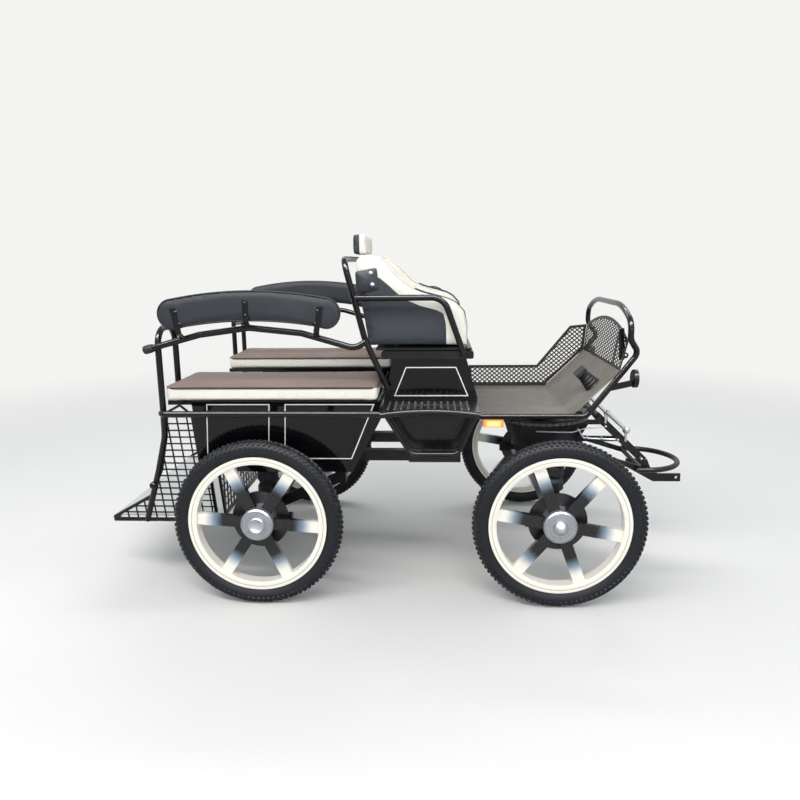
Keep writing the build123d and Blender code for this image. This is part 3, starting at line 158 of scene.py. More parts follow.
class Graph:
    """A node tree, with one way to add a node."""

    def __init__(self, tree):
        self.tree = tree

    def node(self, kind, settings, sockets, output=0):
        """Add a node of a kind, set it, plug its sockets by place or name, and give back one output."""
        made = self.tree.nodes.new(kind)
        stops = settings.get("stops")
        for key, value in settings.items():
            if key != "stops":
                setattr(made, key, value)
        if stops:
            while len(made.color_ramp.elements) < len(stops):
                made.color_ramp.elements.new(1.0)
            for element, (at, tone) in zip(made.color_ramp.elements, stops):
                element.position = at
                element.color = (tone, tone, tone, 1.0)
        for key, value in sockets.items():
            self.plug(value, made.inputs[key])
        return Wire(self, made.outputs[output])

    def plug(self, value, socket):
        """Link a wire to a socket, or set the socket to a number or a colour."""
        if isinstance(value, Wire):
            self.tree.links.new(value.socket, socket)
        elif isinstance(value, tuple) and len(value) == 3 and socket.type == "RGBA":
            socket.default_value = (*value, 1.0)
        else:
            socket.default_value = value

    def seen(self):
        """1 for rays from the camera, a reflection or a clear piece, and 0 for those that only light."""
        path = self.node("ShaderNodeLightPath", {}, {}, "Is Camera Ray")
        outputs = path.socket.node.outputs
        mirrored = Wire(self, outputs["Is Glossy Ray"])
        through = Wire(self, outputs["Is Transmission Ray"])
        return path.larger(mirrored).larger(through)


class Paint(Graph):
    """One procedural material over a single surface shader, with its patterns in object coordinates."""

    def __init__(self, name):
        self.material = bpy.data.materials.new(name)
        self.material.use_nodes = True
        super().__init__(self.material.node_tree)
        self.skin = next(n for n in self.tree.nodes if n.type == "BSDF_PRINCIPLED")
        self.place = self.node("ShaderNodeTexCoord", {}, {}, "Object")

    def axes(self):
        """The place's x, y and z as three wires."""
        parts = self.node("ShaderNodeSeparateXYZ", {}, {0: self.place})
        outputs = parts.socket.node.outputs
        return [Wire(self, outputs[i]) for i in range(3)]

    def wheel_radius(self):
        """Distance from the axle of the wheel that the place is on."""
        x, _, z = self.axes()
        across = abs(x) - AXLE_X
        up = z - AXLE_Z
        return (across * across + up * up).root()

    def stretched(self, x, y, z):
        """The place scaled along each axis, for patterns that run one way."""
        return self.node("ShaderNodeMapping", {}, {"Vector": self.place, "Scale": (x, y, z)})

    def noise(self, scale, detail=3.0, rough=0.5, at=None):
        """Cloudy noise from 0 to 1."""
        sockets = {"Vector": at or self.place, "Scale": scale, "Detail": detail, "Roughness": rough}
        return self.node("ShaderNodeTexNoise", {}, sockets)

    def cells(self, scale, feature="DISTANCE_TO_EDGE"):
        """How far a point is from the edge of its cell."""
        return self.node("ShaderNodeTexVoronoi", {"feature": feature}, {"Vector": self.place, "Scale": scale})

    def mix(self, low, high, share):
        """One colour into another by a share from 0 to 1."""
        return self.node("ShaderNodeMix", {"data_type": "RGBA"}, {0: share, 6: low, 7: high}, 2)

    def bumps(self, height, distance, strength=1.0):
        """A normal raised by a height."""
        return self.node("ShaderNodeBump", {}, {"Height": height, "Distance": distance, "Strength": strength})

    def finish(self, **sockets):
        """Set the surface's sockets by their names, with _ for a space."""
        for name, value in sockets.items():
            self.plug(value, self.skin.inputs[name.replace("_", " ")])
        return self.material


def outline_mask(x, z, corners, width):
    """1 on a line of that width along a convex outline.

    The furthest of the edges' signed distances is near 0 there.
    """
    far = None
    count = len(corners)
    for i in range(count):
        (ax, az), (bx, bz) = corners[i], corners[(i + 1) % count]
        length = math.hypot(bx - ax, bz - az)
        nx, nz = (bz - az) / length, (ax - bx) / length
        side = x * nx + z * nz - (ax * nx + az * nz)
        far = side if far is None else far.larger(side)
    return 1.0 - abs(far).step(width * 0.4, width * 0.6)


def black_gloss(name, rough=0.16, dust=0.06):
    """Coated black paint with a little dust and the faint unevenness of a sprayed tube."""
    paint = Paint(name)
    cloud = paint.noise(9.0, 4.0, 0.6)
    speck = paint.noise(260.0, 2.0, 0.6)
    tone = paint.mix(BLACK_PAINT, (0.045, 0.045, 0.046), cloud.step(0.45, 0.85) * dust * 1.6)
    return paint.finish(Base_Color=tone, Roughness=rough + cloud * dust + speck * 0.05,
                        Specular_IOR_Level=0.20, Coat_Weight=0.20, Coat_Roughness=0.05,
                        Normal=paint.bumps(speck, 0.00025, 0.5))


def striped_gloss(name, outlines, width, outer=None):
    """Black coach paint with cream pinstripes along outlines of (x, z) corners."""
    paint = Paint(name)
    x, y, z = paint.axes()
    line = None
    for corners in outlines:
        mask = outline_mask(x, z, corners, width)
        line = mask if line is None else line.larger(mask)
    if outer is not None:
        line = line * (abs(y) > outer)
    cloud = paint.noise(6.0, 5.0, 0.6)
    hair = paint.noise(14.0, 2.0, 0.5, paint.stretched(1.0, 1.0, 9.0))
    tone = paint.mix(BLACK_PAINT, (0.060, 0.058, 0.056), cloud.step(0.5, 0.9) * 0.12)
    tone = paint.mix(tone, CREAM_PAINT, line)
    return paint.finish(Base_Color=tone, Roughness=0.07 + cloud * 0.05 + hair * 0.03,
                        Specular_IOR_Level=0.18, Coat_Weight=0.20, Coat_Roughness=0.03,
                        Normal=paint.bumps(hair + line * 1.5, 0.0002, 0.35))


def wheel_paint():
    """Cream rims whose spokes fade through grey blue to black towards the hub, as sprayed, with road dust."""
    paint = Paint("wheel_paint_faded")
    radius = paint.wheel_radius()
    cloud = paint.noise(30.0, 4.0, 0.6)
    near = radius + (cloud - 0.5) * 0.010
    dirt = paint.noise(75.0, 5.0, 0.7).step(0.50, 0.80)
    cream = paint.mix(CREAM_PAINT, (0.50, 0.46, 0.38), dirt * 0.28)
    haze = paint.mix(BLACK_PAINT, (0.26, 0.34, 0.43), near.step(0.142, 0.204))
    # painted shade: besides its bump, the rim's groove gets a darker colour, a drawn shadow line
    groove_and_shade = abs(radius - RIM_GROOVE_R).step(0.0006, 0.002)
    cream = paint.mix((0.42, 0.40, 0.35), cream, groove_and_shade)
    tone = paint.mix(haze, cream, near.step(0.180, 0.228))
    return paint.finish(Base_Color=tone, Roughness=0.26 + dirt * 0.14, Specular_IOR_Level=0.35,
                        Coat_Weight=0.25, Coat_Roughness=0.10,
                        Normal=paint.bumps(cloud * 0.4 + groove_and_shade, 0.0012, 0.5))


def tyre_rubber():
    """Dull black rubber: moulded rings on the wall, and grey dust on the knobs."""
    paint = Paint("tyre_rubber_dusty")
    radius = paint.wheel_radius()
    rings = (radius * 1250.0).wave() * radius.step(0.286, 0.292) * (1.0 - radius.step(0.312, 0.318))
    grain = paint.noise(420.0, 3.0, 0.6)
    dust = paint.noise(38.0, 5.0, 0.7).step(0.42, 0.78) * radius.step(0.318, 0.348)
    tone = paint.mix(RUBBER, (0.085, 0.085, 0.088), dust * 0.60 + grain * 0.05)
    return paint.finish(Base_Color=tone, Roughness=0.50 + dust * 0.30 + grain * 0.08, Specular_IOR_Level=0.22,
                        Normal=paint.bumps(rings * 0.5 + grain * 0.35, 0.0009, 0.8))


def hub_metal():
    """A turned steel cover with the fine rings of a lathe, and a dark brake disc round it."""
    paint = Paint("hub_turned_metal")
    radius = paint.wheel_radius()
    rings = (radius * (2 * math.pi / 0.0018)).wave()
    groove_and_shade = (radius * (2 * math.pi / 0.0135)).wave().step(0.90, 0.99)
    cloud = paint.noise(45.0, 4.0, 0.6)
    stain = cloud.step(0.50, 0.85)
    disc = radius.step(DISC_R - 0.001, DISC_R + 0.001)
    # the stains are random, but the colour is darker along the groove lines as painted shade
    cover = paint.mix((0.34, 0.35, 0.38), (0.15, 0.15, 0.16), stain * 0.5 + groove_and_shade * 0.6)
    tone = paint.mix(cover, (0.014, 0.014, 0.016), disc)
    return paint.finish(Base_Color=tone, Metallic=0.9 - disc * 0.8,
                        Roughness=0.34 + stain * 0.16 + rings * 0.05,
                        Normal=paint.bumps(rings * 0.3 + groove_and_shade, 0.0005, 0.6))


def hide(name, tone, dark, grain=1.0, gloss=0.25):
    """Soft coated hide: fine pebbled grain, slow colour changes and a dull sheen."""
    paint = Paint(name)
    pebble = paint.cells(620.0)
    pores = paint.noise(900.0, 2.0, 0.5)
    creases = paint.noise(38.0, 4.0, 0.6, paint.stretched(0.4, 1.0, 1.0))
    cloud = paint.noise(7.0, 4.0, 0.55)
    colour = paint.mix(tone, dark, cloud.step(0.42, 0.82) * 0.45 + creases.step(0.58, 0.75) * 0.12)
    height = pebble.step(0.0, 0.35) * 0.5 + pores * 0.2 + creases * 0.8
    return paint.finish(Base_Color=colour, Roughness=0.50 + cloud * 0.16 + pores * 0.06,
                        Specular_IOR_Level=gloss, Normal=paint.bumps(height, 0.0006 * grain, 0.7),
                        Sheen_Weight=0.05)


def bench_hide():
    """Two hides on one cushion: taupe above the top seam and cream round the sides."""
    paint = Paint("bench_hide_two_tone")
    z = paint.axes()[2]
    pebble = paint.cells(620.0)
    pores = paint.noise(900.0, 2.0, 0.5)
    creases = paint.noise(26.0, 4.0, 0.6)
    cloud = paint.noise(5.0, 4.0, 0.6)
    worn = paint.noise(3.2, 3.0, 0.5)
    top = z.step(BENCH_SEAM - 0.0006, BENCH_SEAM + 0.0006)
    taupe = paint.mix(TAUPE, (0.300, 0.228, 0.200), cloud.step(0.40, 0.80) * 0.5 + worn.step(0.5, 0.8) * 0.3)
    cream = paint.mix(CREAM, (0.60, 0.55, 0.45), creases.step(0.52, 0.80) * 0.35 + cloud * 0.12)
    height = pebble.step(0.0, 0.35) * 0.5 + pores * 0.2 + creases * 0.8
    return paint.finish(Base_Color=paint.mix(cream, taupe, top),
                        Roughness=0.50 + cloud * 0.16 + pores * 0.05, Specular_IOR_Level=0.25,
                        Normal=paint.bumps(height, 0.0007, 0.7), Sheen_Weight=0.05)


def seat_side_hide():
    """Cream hide with a black panel let into the outer face below a falling curve."""
    paint = Paint("seat_side_hide")
    x, y, z = paint.axes()
    along = (x + 0.25) / 0.50
    curve = paint.node("ShaderNodeValToRGB", {"stops": SEAT_PANEL_STOPS}, {0: along})
    edge = curve * 0.50 + 1.0
    behind = 1.0 - x.step(PANEL_END_X - 0.001, PANEL_END_X + 0.001)
    inside = (1.0 - (z - edge).step(-0.0015, 0.0015)) * behind
    inside = inside * (abs(y) > PANEL_OUT_Y)
    seam = (abs(z - edge) < 0.004).larger((abs(x - PANEL_END_X) < 0.004) * (z < edge))
    seam = seam * (abs(y) > PANEL_OUT_Y)
    pebble = paint.cells(620.0)
    pores = paint.noise(900.0, 2.0, 0.5)
    creases = paint.noise(24.0, 4.0, 0.6)
    cloud = paint.noise(7.0, 4.0, 0.55)
    cream = paint.mix(CREAM, (0.62, 0.57, 0.47), cloud.step(0.45, 0.85) * 0.35)
    black = paint.mix(BLACK_HIDE, (0.050, 0.050, 0.058), cloud.step(0.40, 0.80) * 0.5)
    height = pebble.step(0.0, 0.35) * 0.5 + pores * 0.2 + creases * 0.9 - seam * 3.0
    return paint.finish(Base_Color=paint.mix(cream, black, inside), Roughness=0.52 + cloud * 0.14,
                        Specular_IOR_Level=0.25, Normal=paint.bumps(height, 0.0007, 0.7), Sheen_Weight=0.05)


def head_hide():
    """Head pad: black hide on the rear half and cream on the front half."""
    paint = Paint("head_pad_hide")
    front = paint.axes()[0].step(HEAD_SEAM_X, HEAD_SEAM_X + 0.0015)
    pebble = paint.cells(620.0)
    creases = paint.noise(40.0, 4.0, 0.6)
    tone = paint.mix(BLACK_HIDE, CREAM, front)
    tone = paint.mix(tone, (0.35, 0.32, 0.27), creases.step(0.60, 0.85) * front * 0.4)
    return paint.finish(Base_Color=tone, Roughness=0.52 + creases * 0.12, Specular_IOR_Level=0.25,
                        Normal=paint.bumps(pebble.step(0.0, 0.35) * 0.5 + creases, 0.0007, 0.7))


def ribbed_mat(name, across):
    """A worn rubber mat with fine ribs along the carriage, and painted shade in the grooves between the ribs.
    """
    paint = Paint(name)
    x, y = paint.axes()[:2]
    ribs = ((y if across else x) * (2 * math.pi / 0.0055)).wave()
    cloud = paint.noise(4.5, 5.0, 0.65)
    dust = paint.noise(26.0, 5.0, 0.7)
    weave = ((x if across else y) * (2 * math.pi / 0.011)).wave()
    tone = paint.mix(MAT, (0.360, 0.335, 0.305), cloud.step(0.40, 0.75) * 0.5 + dust.step(0.5, 0.8) * 0.25)
    # painted shade: the colour darkens in the grooves between the ribs
    tone = paint.mix(tone, (0.105, 0.090, 0.080), (1.0 - ribs.step(-0.9, 0.2)) * 0.45)
    return paint.finish(Base_Color=tone, Roughness=0.66 + dust * 0.2, Specular_IOR_Level=0.25,
                        Normal=paint.bumps(ribs * 0.6 + weave * 0.15 + dust * 0.5, 0.001, 0.8))


def chequer_plate():
    """Bright rolled sheet with raised bars that cross by turns, every other bar darker as painted shade, a
    little scuffed.
    """
    paint = Paint("step_chequer_plate")
    x, y = paint.axes()[:2]
    pitch = 2 * math.pi / 0.034
    first = (((x + y) * pitch * 0.7).wave() * ((x - y) * pitch * 0.7).wave()).step(0.35, 0.75)
    # painted shade: every other bar is darker in the colour, as if turned from the light
    shaded_bars = (1.0 - ((x * pitch).wave() * (y * pitch).wave()).step(-0.75, -0.35)) * first
    cloud = paint.noise(14.0, 5.0, 0.7)
    tone = paint.mix(CHEQUER, (0.30, 0.29, 0.28), shaded_bars * 0.55 + cloud.step(0.55, 0.85) * 0.25)
    return paint.finish(Base_Color=tone, Metallic=0.55, Roughness=0.38 + cloud * 0.2,
                        Normal=paint.bumps(first + cloud * 0.1, 0.0016, 0.8))


def satin_metal(name, tone, dark, rough, metallic=0.0, scale=60.0, gloss=0.3):
    """Plain painted or rolled metal with a rubbed, slightly dirty face."""
    paint = Paint(name)
    cloud = paint.noise(8.0, 4.0, 0.6)
    fine = paint.noise(scale, 5.0, 0.7)
    colour = paint.mix(tone, dark, fine.step(0.45, 0.80) * 0.55 + cloud.step(0.5, 0.85) * 0.25)
    return paint.finish(Base_Color=colour, Metallic=metallic, Roughness=rough + fine * 0.16 + cloud * 0.06,
                        Specular_IOR_Level=gloss, Normal=paint.bumps(fine, 0.0003, 0.5))


def brushed_steel(name):
    """Bright steel with scratches along its length and dull patches."""
    paint = Paint(name)
    scratch = paint.noise(240.0, 4.0, 0.6, paint.stretched(0.15, 1.0, 1.0))
    cloud = paint.noise(30.0, 4.0, 0.6)
    tone = paint.mix(STEEL, (0.30, 0.28, 0.26), cloud.step(0.5, 0.8) * 0.6)
    return paint.finish(Base_Color=tone, Metallic=1.0, Roughness=0.24 + scratch * 0.2 + cloud * 0.1,
                        Normal=paint.bumps(scratch, 0.0002, 0.5))


def amber_lens():
    """An amber reflector with a fine prism pattern, painted brightest at its middle: a painted highlight in
    its colour and a painted glow in its emission, though it is no lamp.
    """
    paint = Paint("amber_lens")
    x, _, z = paint.axes()
    prisms = ((x * (2 * math.pi / 0.005)).wave() * (z * (2 * math.pi / 0.005)).wave()) * 0.5 + 0.5
    near = 1.0 - ((abs(x - 0.3625) / 0.042).larger(abs(z - 0.708) / 0.017)).step(0.45, 1.0)
    # painted highlight: the colour is brighter at the middle and on the prisms
    tone = paint.mix((0.90, 0.26, 0.02), (1.0, 0.62, 0.22), near * 0.8 + prisms * 0.2)
    # painted glow: emission on a reflector that is no lamp, strongest at its middle
    glow = paint.mix((0.55, 0.12, 0.0), (1.0, 0.62, 0.28), near)
    return paint.finish(Base_Color=tone, Roughness=0.16 + prisms * 0.08, Emission_Color=glow,
                        Emission_Strength=0.75, Coat_Weight=0.5, Normal=paint.bumps(prisms, 0.0004, 0.6))


# Meshes from arrays

def grid_faces(rows, columns, round_rows, round_columns):
    """Four-cornered faces over a grid: each joins a point, its right neighbour and the two above."""
    i = np.arange(rows if round_rows else rows - 1)[:, None]
    j = np.arange(columns if round_columns else columns - 1)[None, :]
    up = (i + 1) % rows
    right = (j + 1) % columns
    corners = [i * columns + j, i * columns + right, up * columns + right, up * columns + j]
    return np.stack(np.broadcast_arrays(*corners), axis=-1).reshape(-1, 4)


def make_piece(name, points, faces, material, body, smooth=True):
    """A mesh object from an array of points and an array of faces, riding on a body."""
    mesh = bpy.data.meshes.new(name)
    mesh.from_pydata(np.asarray(points, float).reshape(-1, 3).tolist(), [], np.asarray(faces).tolist())
    mesh.validate()
    mesh.polygons.foreach_set("use_smooth", np.full(len(mesh.polygons), smooth))
    mesh.materials.append(material)
    piece = bpy.data.objects.new(name, mesh)
    bpy.context.scene.collection.objects.link(piece)
    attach(piece, body)
    return piece


def point_out(piece):
    """Merge a piece's doubled points and turn its faces outwards."""
    work = bmesh.new()
    work.from_mesh(piece.data)
    bmesh.ops.remove_doubles(work, verts=work.verts, dist=1e-6)
    bmesh.ops.recalc_face_normals(work, faces=work.faces)
    work.to_mesh(piece.data)
    work.free()
    return piece


def tyre_points(around, across):
    """Tyre about Y: the radius is ring + crown cos v, and the side half sin v (1 + flare cos v)."""
    u = np.linspace(0, 2 * np.pi, around, endpoint=False)[:, None]
    v = np.linspace(0, 2 * np.pi, across, endpoint=False)[None, :]
    radius = TYRE_RING + TYRE_CROWN * np.cos(v)
    side = TYRE_HALF * np.sin(v) * (1 + TYRE_FLARE * np.cos(v))
    return np.stack(np.broadcast_arrays(radius * np.cos(u), side, radius * np.sin(u)), axis=-1)


def knob_points(count, v, yaw, size, rise, shift):
    """Tapered knobs round a tyre: a block of eight corners, turned by yaw on the tread, is carried to each
    of count places, where its own up is the tread's normal at v and its right is the way round."""
    long, wide, high = size
    corners = np.array([(a * k, b * k, h) for h, k in ((-rise, 1.0), (high, 0.72))
                        for a, b in ((-1, -1), (1, -1), (1, 1), (-1, 1))])
    x = corners[:, 0] * long / 2
    y = corners[:, 1] * wide / 2
    turn_x = x * np.cos(yaw) - y * np.sin(yaw)
    turn_y = x * np.sin(yaw) + y * np.cos(yaw)
    u = (np.arange(count) + shift)[:, None] * 2 * np.pi / count
    radius = TYRE_RING + TYRE_CROWN * np.cos(v)
    side = TYRE_HALF * np.sin(v) * (1 + TYRE_FLARE * np.cos(v))
    slope_r = -TYRE_CROWN * np.sin(v)
    slope_y = TYRE_HALF * (np.cos(v) * (1 + TYRE_FLARE * np.cos(v)) - TYRE_FLARE * np.sin(v) ** 2)
    length = np.hypot(slope_r, slope_y)
    out_r, out_y = slope_y / length, -slope_r / length
    reach = radius + turn_y * slope_r / length + corners[:, 2] * out_r
    level = side + turn_y * slope_y / length + corners[:, 2] * out_y
    px = reach * np.cos(u) - turn_x * np.sin(u)
    pz = reach * np.sin(u) + turn_x * np.cos(u)
    py = np.broadcast_to(level, px.shape)
    return np.stack([px, py, pz], axis=-1)


BLOCK_FACES = np.array([(4, 5, 6, 7), (0, 1, 5, 4), (1, 2, 6, 5), (2, 3, 7, 6), (3, 0, 4, 7), (3, 2, 1, 0)])
TREAD_ROWS = (  # place across, turn, (length round, width across, height), shift
    (0.24, 0.42, (0.0135, 0.0105, 0.0056), 0.0),
    (-0.24, -0.42, (0.0135, 0.0105, 0.0056), 0.5),
    (0.66, 0.35, (0.012, 0.011, 0.0052), 0.5),
    (-0.66, -0.35, (0.012, 0.011, 0.0052), 0.0),
    (1.06, -0.25, (0.0095, 0.012, 0.004), 0.0),
    (-1.06, 0.25, (0.0095, 0.012, 0.004), 0.5),
)


def make_tyre(name, x, y, material):
    """A carcass with six rows of knobs, in place of the CAD tyre."""
    carcass = tyre_points(*TYRE_GRID)
    faces = [grid_faces(*TYRE_GRID, True, True)]
    points = [carcass.reshape(-1, 3)]
    start = len(points[0])
    for v, yaw, size, shift in TREAD_ROWS:
        knobs = knob_points(KNOB_COUNT, v, yaw, size, 0.002, shift)
        reach = np.maximum(np.hypot(knobs[..., 0], knobs[..., 2]), 1e-9)
        knobs[..., [0, 2]] *= np.minimum(1, TYRE_R / reach)[..., None]
        places = np.arange(KNOB_COUNT)[:, None, None] * 8 + start
        faces.append((BLOCK_FACES[None] + places).reshape(-1, 4))
        points.append(knobs.reshape(-1, 3))
        start += KNOB_COUNT * 8
    body = "wheel_" + name
    points = np.concatenate(points) + np.array((x, y, AXLE_Z))
    tyre = make_piece("tyre_" + name, points, np.concatenate(faces), material, body)
    work = bmesh.new()
    work.from_mesh(tyre.data)
    bmesh.ops.recalc_face_normals(work, faces=work.faces)
    work.to_mesh(tyre.data)
    work.free()
    count = len(tyre.data.polygons)
    tyre.data.polygons.foreach_set("use_smooth", np.arange(count) < TYRE_GRID[0] * TYRE_GRID[1])
    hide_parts(name + "_tyre")
    return tyre


def turned_points(profile, sides):
    """Surface of revolution about Z: each (radius, height) of the profile is carried round by u."""
    u = np.linspace(0, 2 * np.pi, sides, endpoint=False)[:, None]
    radius = np.array([p[0] for p in profile])[None, :]
    height = np.array([p[1] for p in profile])[None, :]
    return np.stack(np.broadcast_arrays(radius * np.cos(u), radius * np.sin(u), height), axis=-1)


def place_points(points, origin, out):
    """Turn points whose up is Z so that their up is out, and move them to an origin."""
    turn = np.array(Vector(out).to_track_quat("Z", "Y").to_matrix())
    return points @ turn.T + np.array(origin)


BOLT_PROFILE = ((0.0, 0.0046), (0.0035, 0.0043), (0.0062, 0.003), (0.0074, 0.0012), (0.0074, 0.0),
                (0.010, 0.0), (0.010, -0.0012), (0.0, -0.0012))
CAP_PROFILE = ((0.0, 0.030), (0.010, 0.029), (0.015, 0.026), (0.0172, 0.020), (0.0172, 0.0), (0.015, -0.012),
               (0.0, -0.012))
KNOB_PROFILE = ((0.0, 0.016), (0.008, 0.0155), (0.0135, 0.012), (0.0155, 0.006), (0.0155, -0.004),
                (0.012, -0.010), (0.012, -0.026), (0.0, -0.026))
PIN_PROFILE = ((0.0, 0.020), (0.0045, 0.019), (0.006, 0.016), (0.006, -0.016), (0.0045, -0.019),
               (0.0, -0.020))


def facing_out(corners, out, side):
    """Places on one side of the carriage, each with the way that it faces."""
    return [((x, side * out, z), (0, side, 0)) for x, z in corners]


def make_bolts(name, places, material, body, scale=1.0, profile=BOLT_PROFILE):
    """Round-headed bolts with washers at (origin, out) places, in one piece."""
    one = turned_points(profile, 20) * scale
    rows, columns = one.shape[:2]
    faces = grid_faces(rows, columns, True, False)
    points = np.stack([place_points(one, origin, out) for origin, out in places])
    shifts = np.arange(len(places))[:, None, None] * rows * columns
    piece = make_piece(name, points, (faces[None] + shifts).reshape(-1, 4), material, body)
    return point_out(piece)


def round_section(ahead, normal, sides):
    """Directions of a round section at each point of a path: cos v sideways and sin v along a normal."""
    ahead /= np.linalg.norm(ahead, axis=1, keepdims=True)
    up = np.broadcast_to(np.array(normal, float), ahead.shape)
    side = np.cross(up, ahead)
    side /= np.linalg.norm(side, axis=1, keepdims=True)
    v = np.linspace(0, 2 * np.pi, sides, endpoint=False)
    return side[:, None] * np.cos(v)[None, :, None] + up[:, None] * np.sin(v)[None, :, None]


def make_ring(name, path, normal, material):
    """A round welt along a closed path in one plane: its section turns about the path's own direction."""
    ahead = np.roll(path, -1, axis=0) - np.roll(path, 1, axis=0)
    points = path[:, None] + WELT_R * round_section(ahead, normal, 8)
    return point_out(make_piece(name, points, grid_faces(len(path), 8, True, True), material, BODY))


# Stuffed pieces

def plain_copy(node, name, squeeze):
    """A merged copy of a CAD solid, drawn in by squeeze along x, y and z on every side of its box."""
    mesh = NODES[node].data.copy()
    mesh.materials.clear()
    work = bmesh.new()
    work.from_mesh(mesh)
    bmesh.ops.remove_doubles(work, verts=work.verts, dist=1e-5)
    work.to_mesh(mesh)
    work.free()
    piece = bpy.data.objects.new(name, mesh)
    bpy.context.scene.collection.objects.link(piece)
    points = read_points(piece)
    middle = (points.min(0) + points.max(0)) / 2
    half = (points.max(0) - points.min(0)) / 2
    write_points(piece, middle + (points - middle) * (half - np.array(squeeze)) / half)
    return piece


def read_points(piece):
    """A mesh's points as an array of rows."""
    points = np.zeros(len(piece.data.vertices) * 3, np.float32)
    piece.data.vertices.foreach_get("co", points)
    return points.reshape(-1, 3).astype(float)


def write_points(piece, points):
    """Give a mesh its new points."""
    piece.data.vertices.foreach_set("co", points.astype(np.float32).ravel())
    piece.data.update()


def settled(piece):
    """Apply a piece's modifiers to its mesh."""
    graph = bpy.context.evaluated_depsgraph_get()
    mesh = bpy.data.meshes.new_from_object(piece.evaluated_get(graph), depsgraph=graph)
    old = piece.data
    piece.modifiers.clear()
    piece.data = mesh
    bpy.data.meshes.remove(old)


def blown(piece, pressure):
    """Where each point of a piece is after it is blown up as cloth for twenty frames without weight."""
    cloth = piece.modifiers.new("cloth", "CLOTH")
    cloth.settings.use_pressure = True
    cloth.settings.uniform_pressure_force = pressure
    cloth.settings.effector_weights.gravity = 0.0
    cloth.settings.quality = 4
    cloth.collision_settings.use_self_collision = False
    cloth.point_cache.frame_start = 1
    cloth.point_cache.frame_end = 20
    for frame_number in range(1, 21):
        bpy.context.scene.frame_set(frame_number)
    settled(piece)
    bpy.context.scene.frame_set(1)
    return read_points(piece)


def stuffed(node, name, material, voxel=0.006, squeeze=(0.004, 0.004, 0.004), cap=0.009, pressure=4.0,
            soften=2):
    """Stuff a soft CAD solid: remesh it, blow it up as cloth, and let each point move by
    cap * (1 - exp(-move / cap)), which nears the cap but never passes it."""
    piece = plain_copy(node, name, squeeze)
    shell = piece.modifiers.new("shell", "REMESH")
    shell.mode = "VOXEL"
    shell.voxel_size = voxel
    soft = piece.modifiers.new("soft", "SMOOTH")
    soft.factor = 0.5
    soft.iterations = soften
    settled(piece)
    rest = read_points(piece)
    move = blown(piece, pressure) - rest
    length = np.maximum(np.linalg.norm(move, axis=1, keepdims=True), 1e-9)
    write_points(piece, rest + move / length * cap * (1 - np.exp(-length / cap)))
    even = piece.modifiers.new("even", "SMOOTH")
    even.factor = 0.4
    even.iterations = 2
    finer = piece.modifiers.new("finer", "SUBSURF")
    finer.levels = finer.render_levels = 1
    settled(piece)
    piece.data.polygons.foreach_set("use_smooth", np.full(len(piece.data.polygons), True))
    piece.data.materials.clear()
    piece.data.materials.append(material)
    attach(piece, BODY)
    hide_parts(node)
    return piece


def on_skin(path, piece, lift, span=9):
    """Carry each point of a closed path to the piece's nearest point, even the run out over span points,
    and lift it off the skin the way it came."""
    skin = read_points(piece)
    near = skin[((path[:, None] - skin[None]) ** 2).sum(-1).argmin(1)]
    half = span // 2
    wrapped = np.concatenate([near[-half:], near, near[:half]])
    even = np.stack([np.convolve(wrapped[:, k], np.ones(span) / span, "valid") for k in range(3)], axis=1)
    away = path - even
    away /= np.maximum(np.linalg.norm(away, axis=1, keepdims=True), 1e-9)
    return even + away * lift


def round_rectangle(low, high, corner, count):
    """Closed path round a rectangle with round corners: each corner is a quarter circle, and the
    points are spread evenly along the whole length."""
    (ax, ay), (bx, by) = low, high
    turn = np.linspace(0, np.pi / 2, 12)
    arcs = []
    for cx, cy, start in ((bx - corner, by - corner, 0), (ax + corner, by - corner, 1),
                          (ax + corner, ay + corner, 2), (bx - corner, ay + corner, 3)):
        angle = turn + start * np.pi / 2
        arcs.append(np.stack([cx + corner * np.cos(angle), cy + corner * np.sin(angle)], axis=1))
    walk = np.concatenate(arcs + [arcs[0][:1]])
    run = np.concatenate([[0], np.cumsum(np.linalg.norm(np.diff(walk, axis=0), axis=1))])
    even = np.linspace(0, run[-1], count, endpoint=False)
    return np.stack([np.interp(even, run, walk[:, k]) for k in range(2)], axis=1)


def evened(corners, count, closed=True):
    """Points spread evenly along straight runs between corners, then smoothed by their neighbours."""
    walk = np.array(corners + corners[:1] if closed else corners, float)
    run = np.concatenate([[0], np.cumsum(np.linalg.norm(np.diff(walk, axis=0), axis=1))])
    at = np.linspace(0, run[-1], count, endpoint=not closed)
    path = np.stack([np.interp(at, run, walk[:, k]) for k in range(walk.shape[1])], axis=1)
    for _ in range(3):
        middle = (np.roll(path, 1, axis=0) + path + np.roll(path, -1, axis=0)) / 3
        if not closed:
            middle[[0, -1]] = path[[0, -1]]
        path = middle
    return path


def make_welt(name, cushion, z, low, high, material):
    """A welt sewn round a cushion at one height."""
    flat = round_rectangle(low, high, 0.016, 300)
    path = on_skin(np.column_stack([flat, np.full(len(flat), z)]), cushion, 0.002)
    path[:, 2] = z
    return make_ring(name, path, (0, 0, 1), material)


def make_cord(name, path, radius, material, body=BODY):
    """An open cord along a path in an upright plane: round sections that shrink to a point at both ends."""
    share = np.ones(len(path))
    share[[0, -1]] = 0.0
    ring = round_section(np.gradient(path, axis=0), (0, 1, 0), 10)
    points = path[:, None] + radius * share[:, None, None] * ring
    return point_out(make_piece(name, points, grid_faces(len(path), 10, False, True), material, body))


# Seat panel curve: share of x from -0.25 to 0.25 against the height's share from 1.0 to 1.5
SEAT_PANEL_STOPS = ((0.0, 0.74), (0.284, 0.654), (0.35, 0.600), (0.43, 0.526), (0.51, 0.472), (0.606, 0.432),
                    (0.74, 0.396), (0.794, 0.368), (0.816, 0.280), (0.822, 0.0))


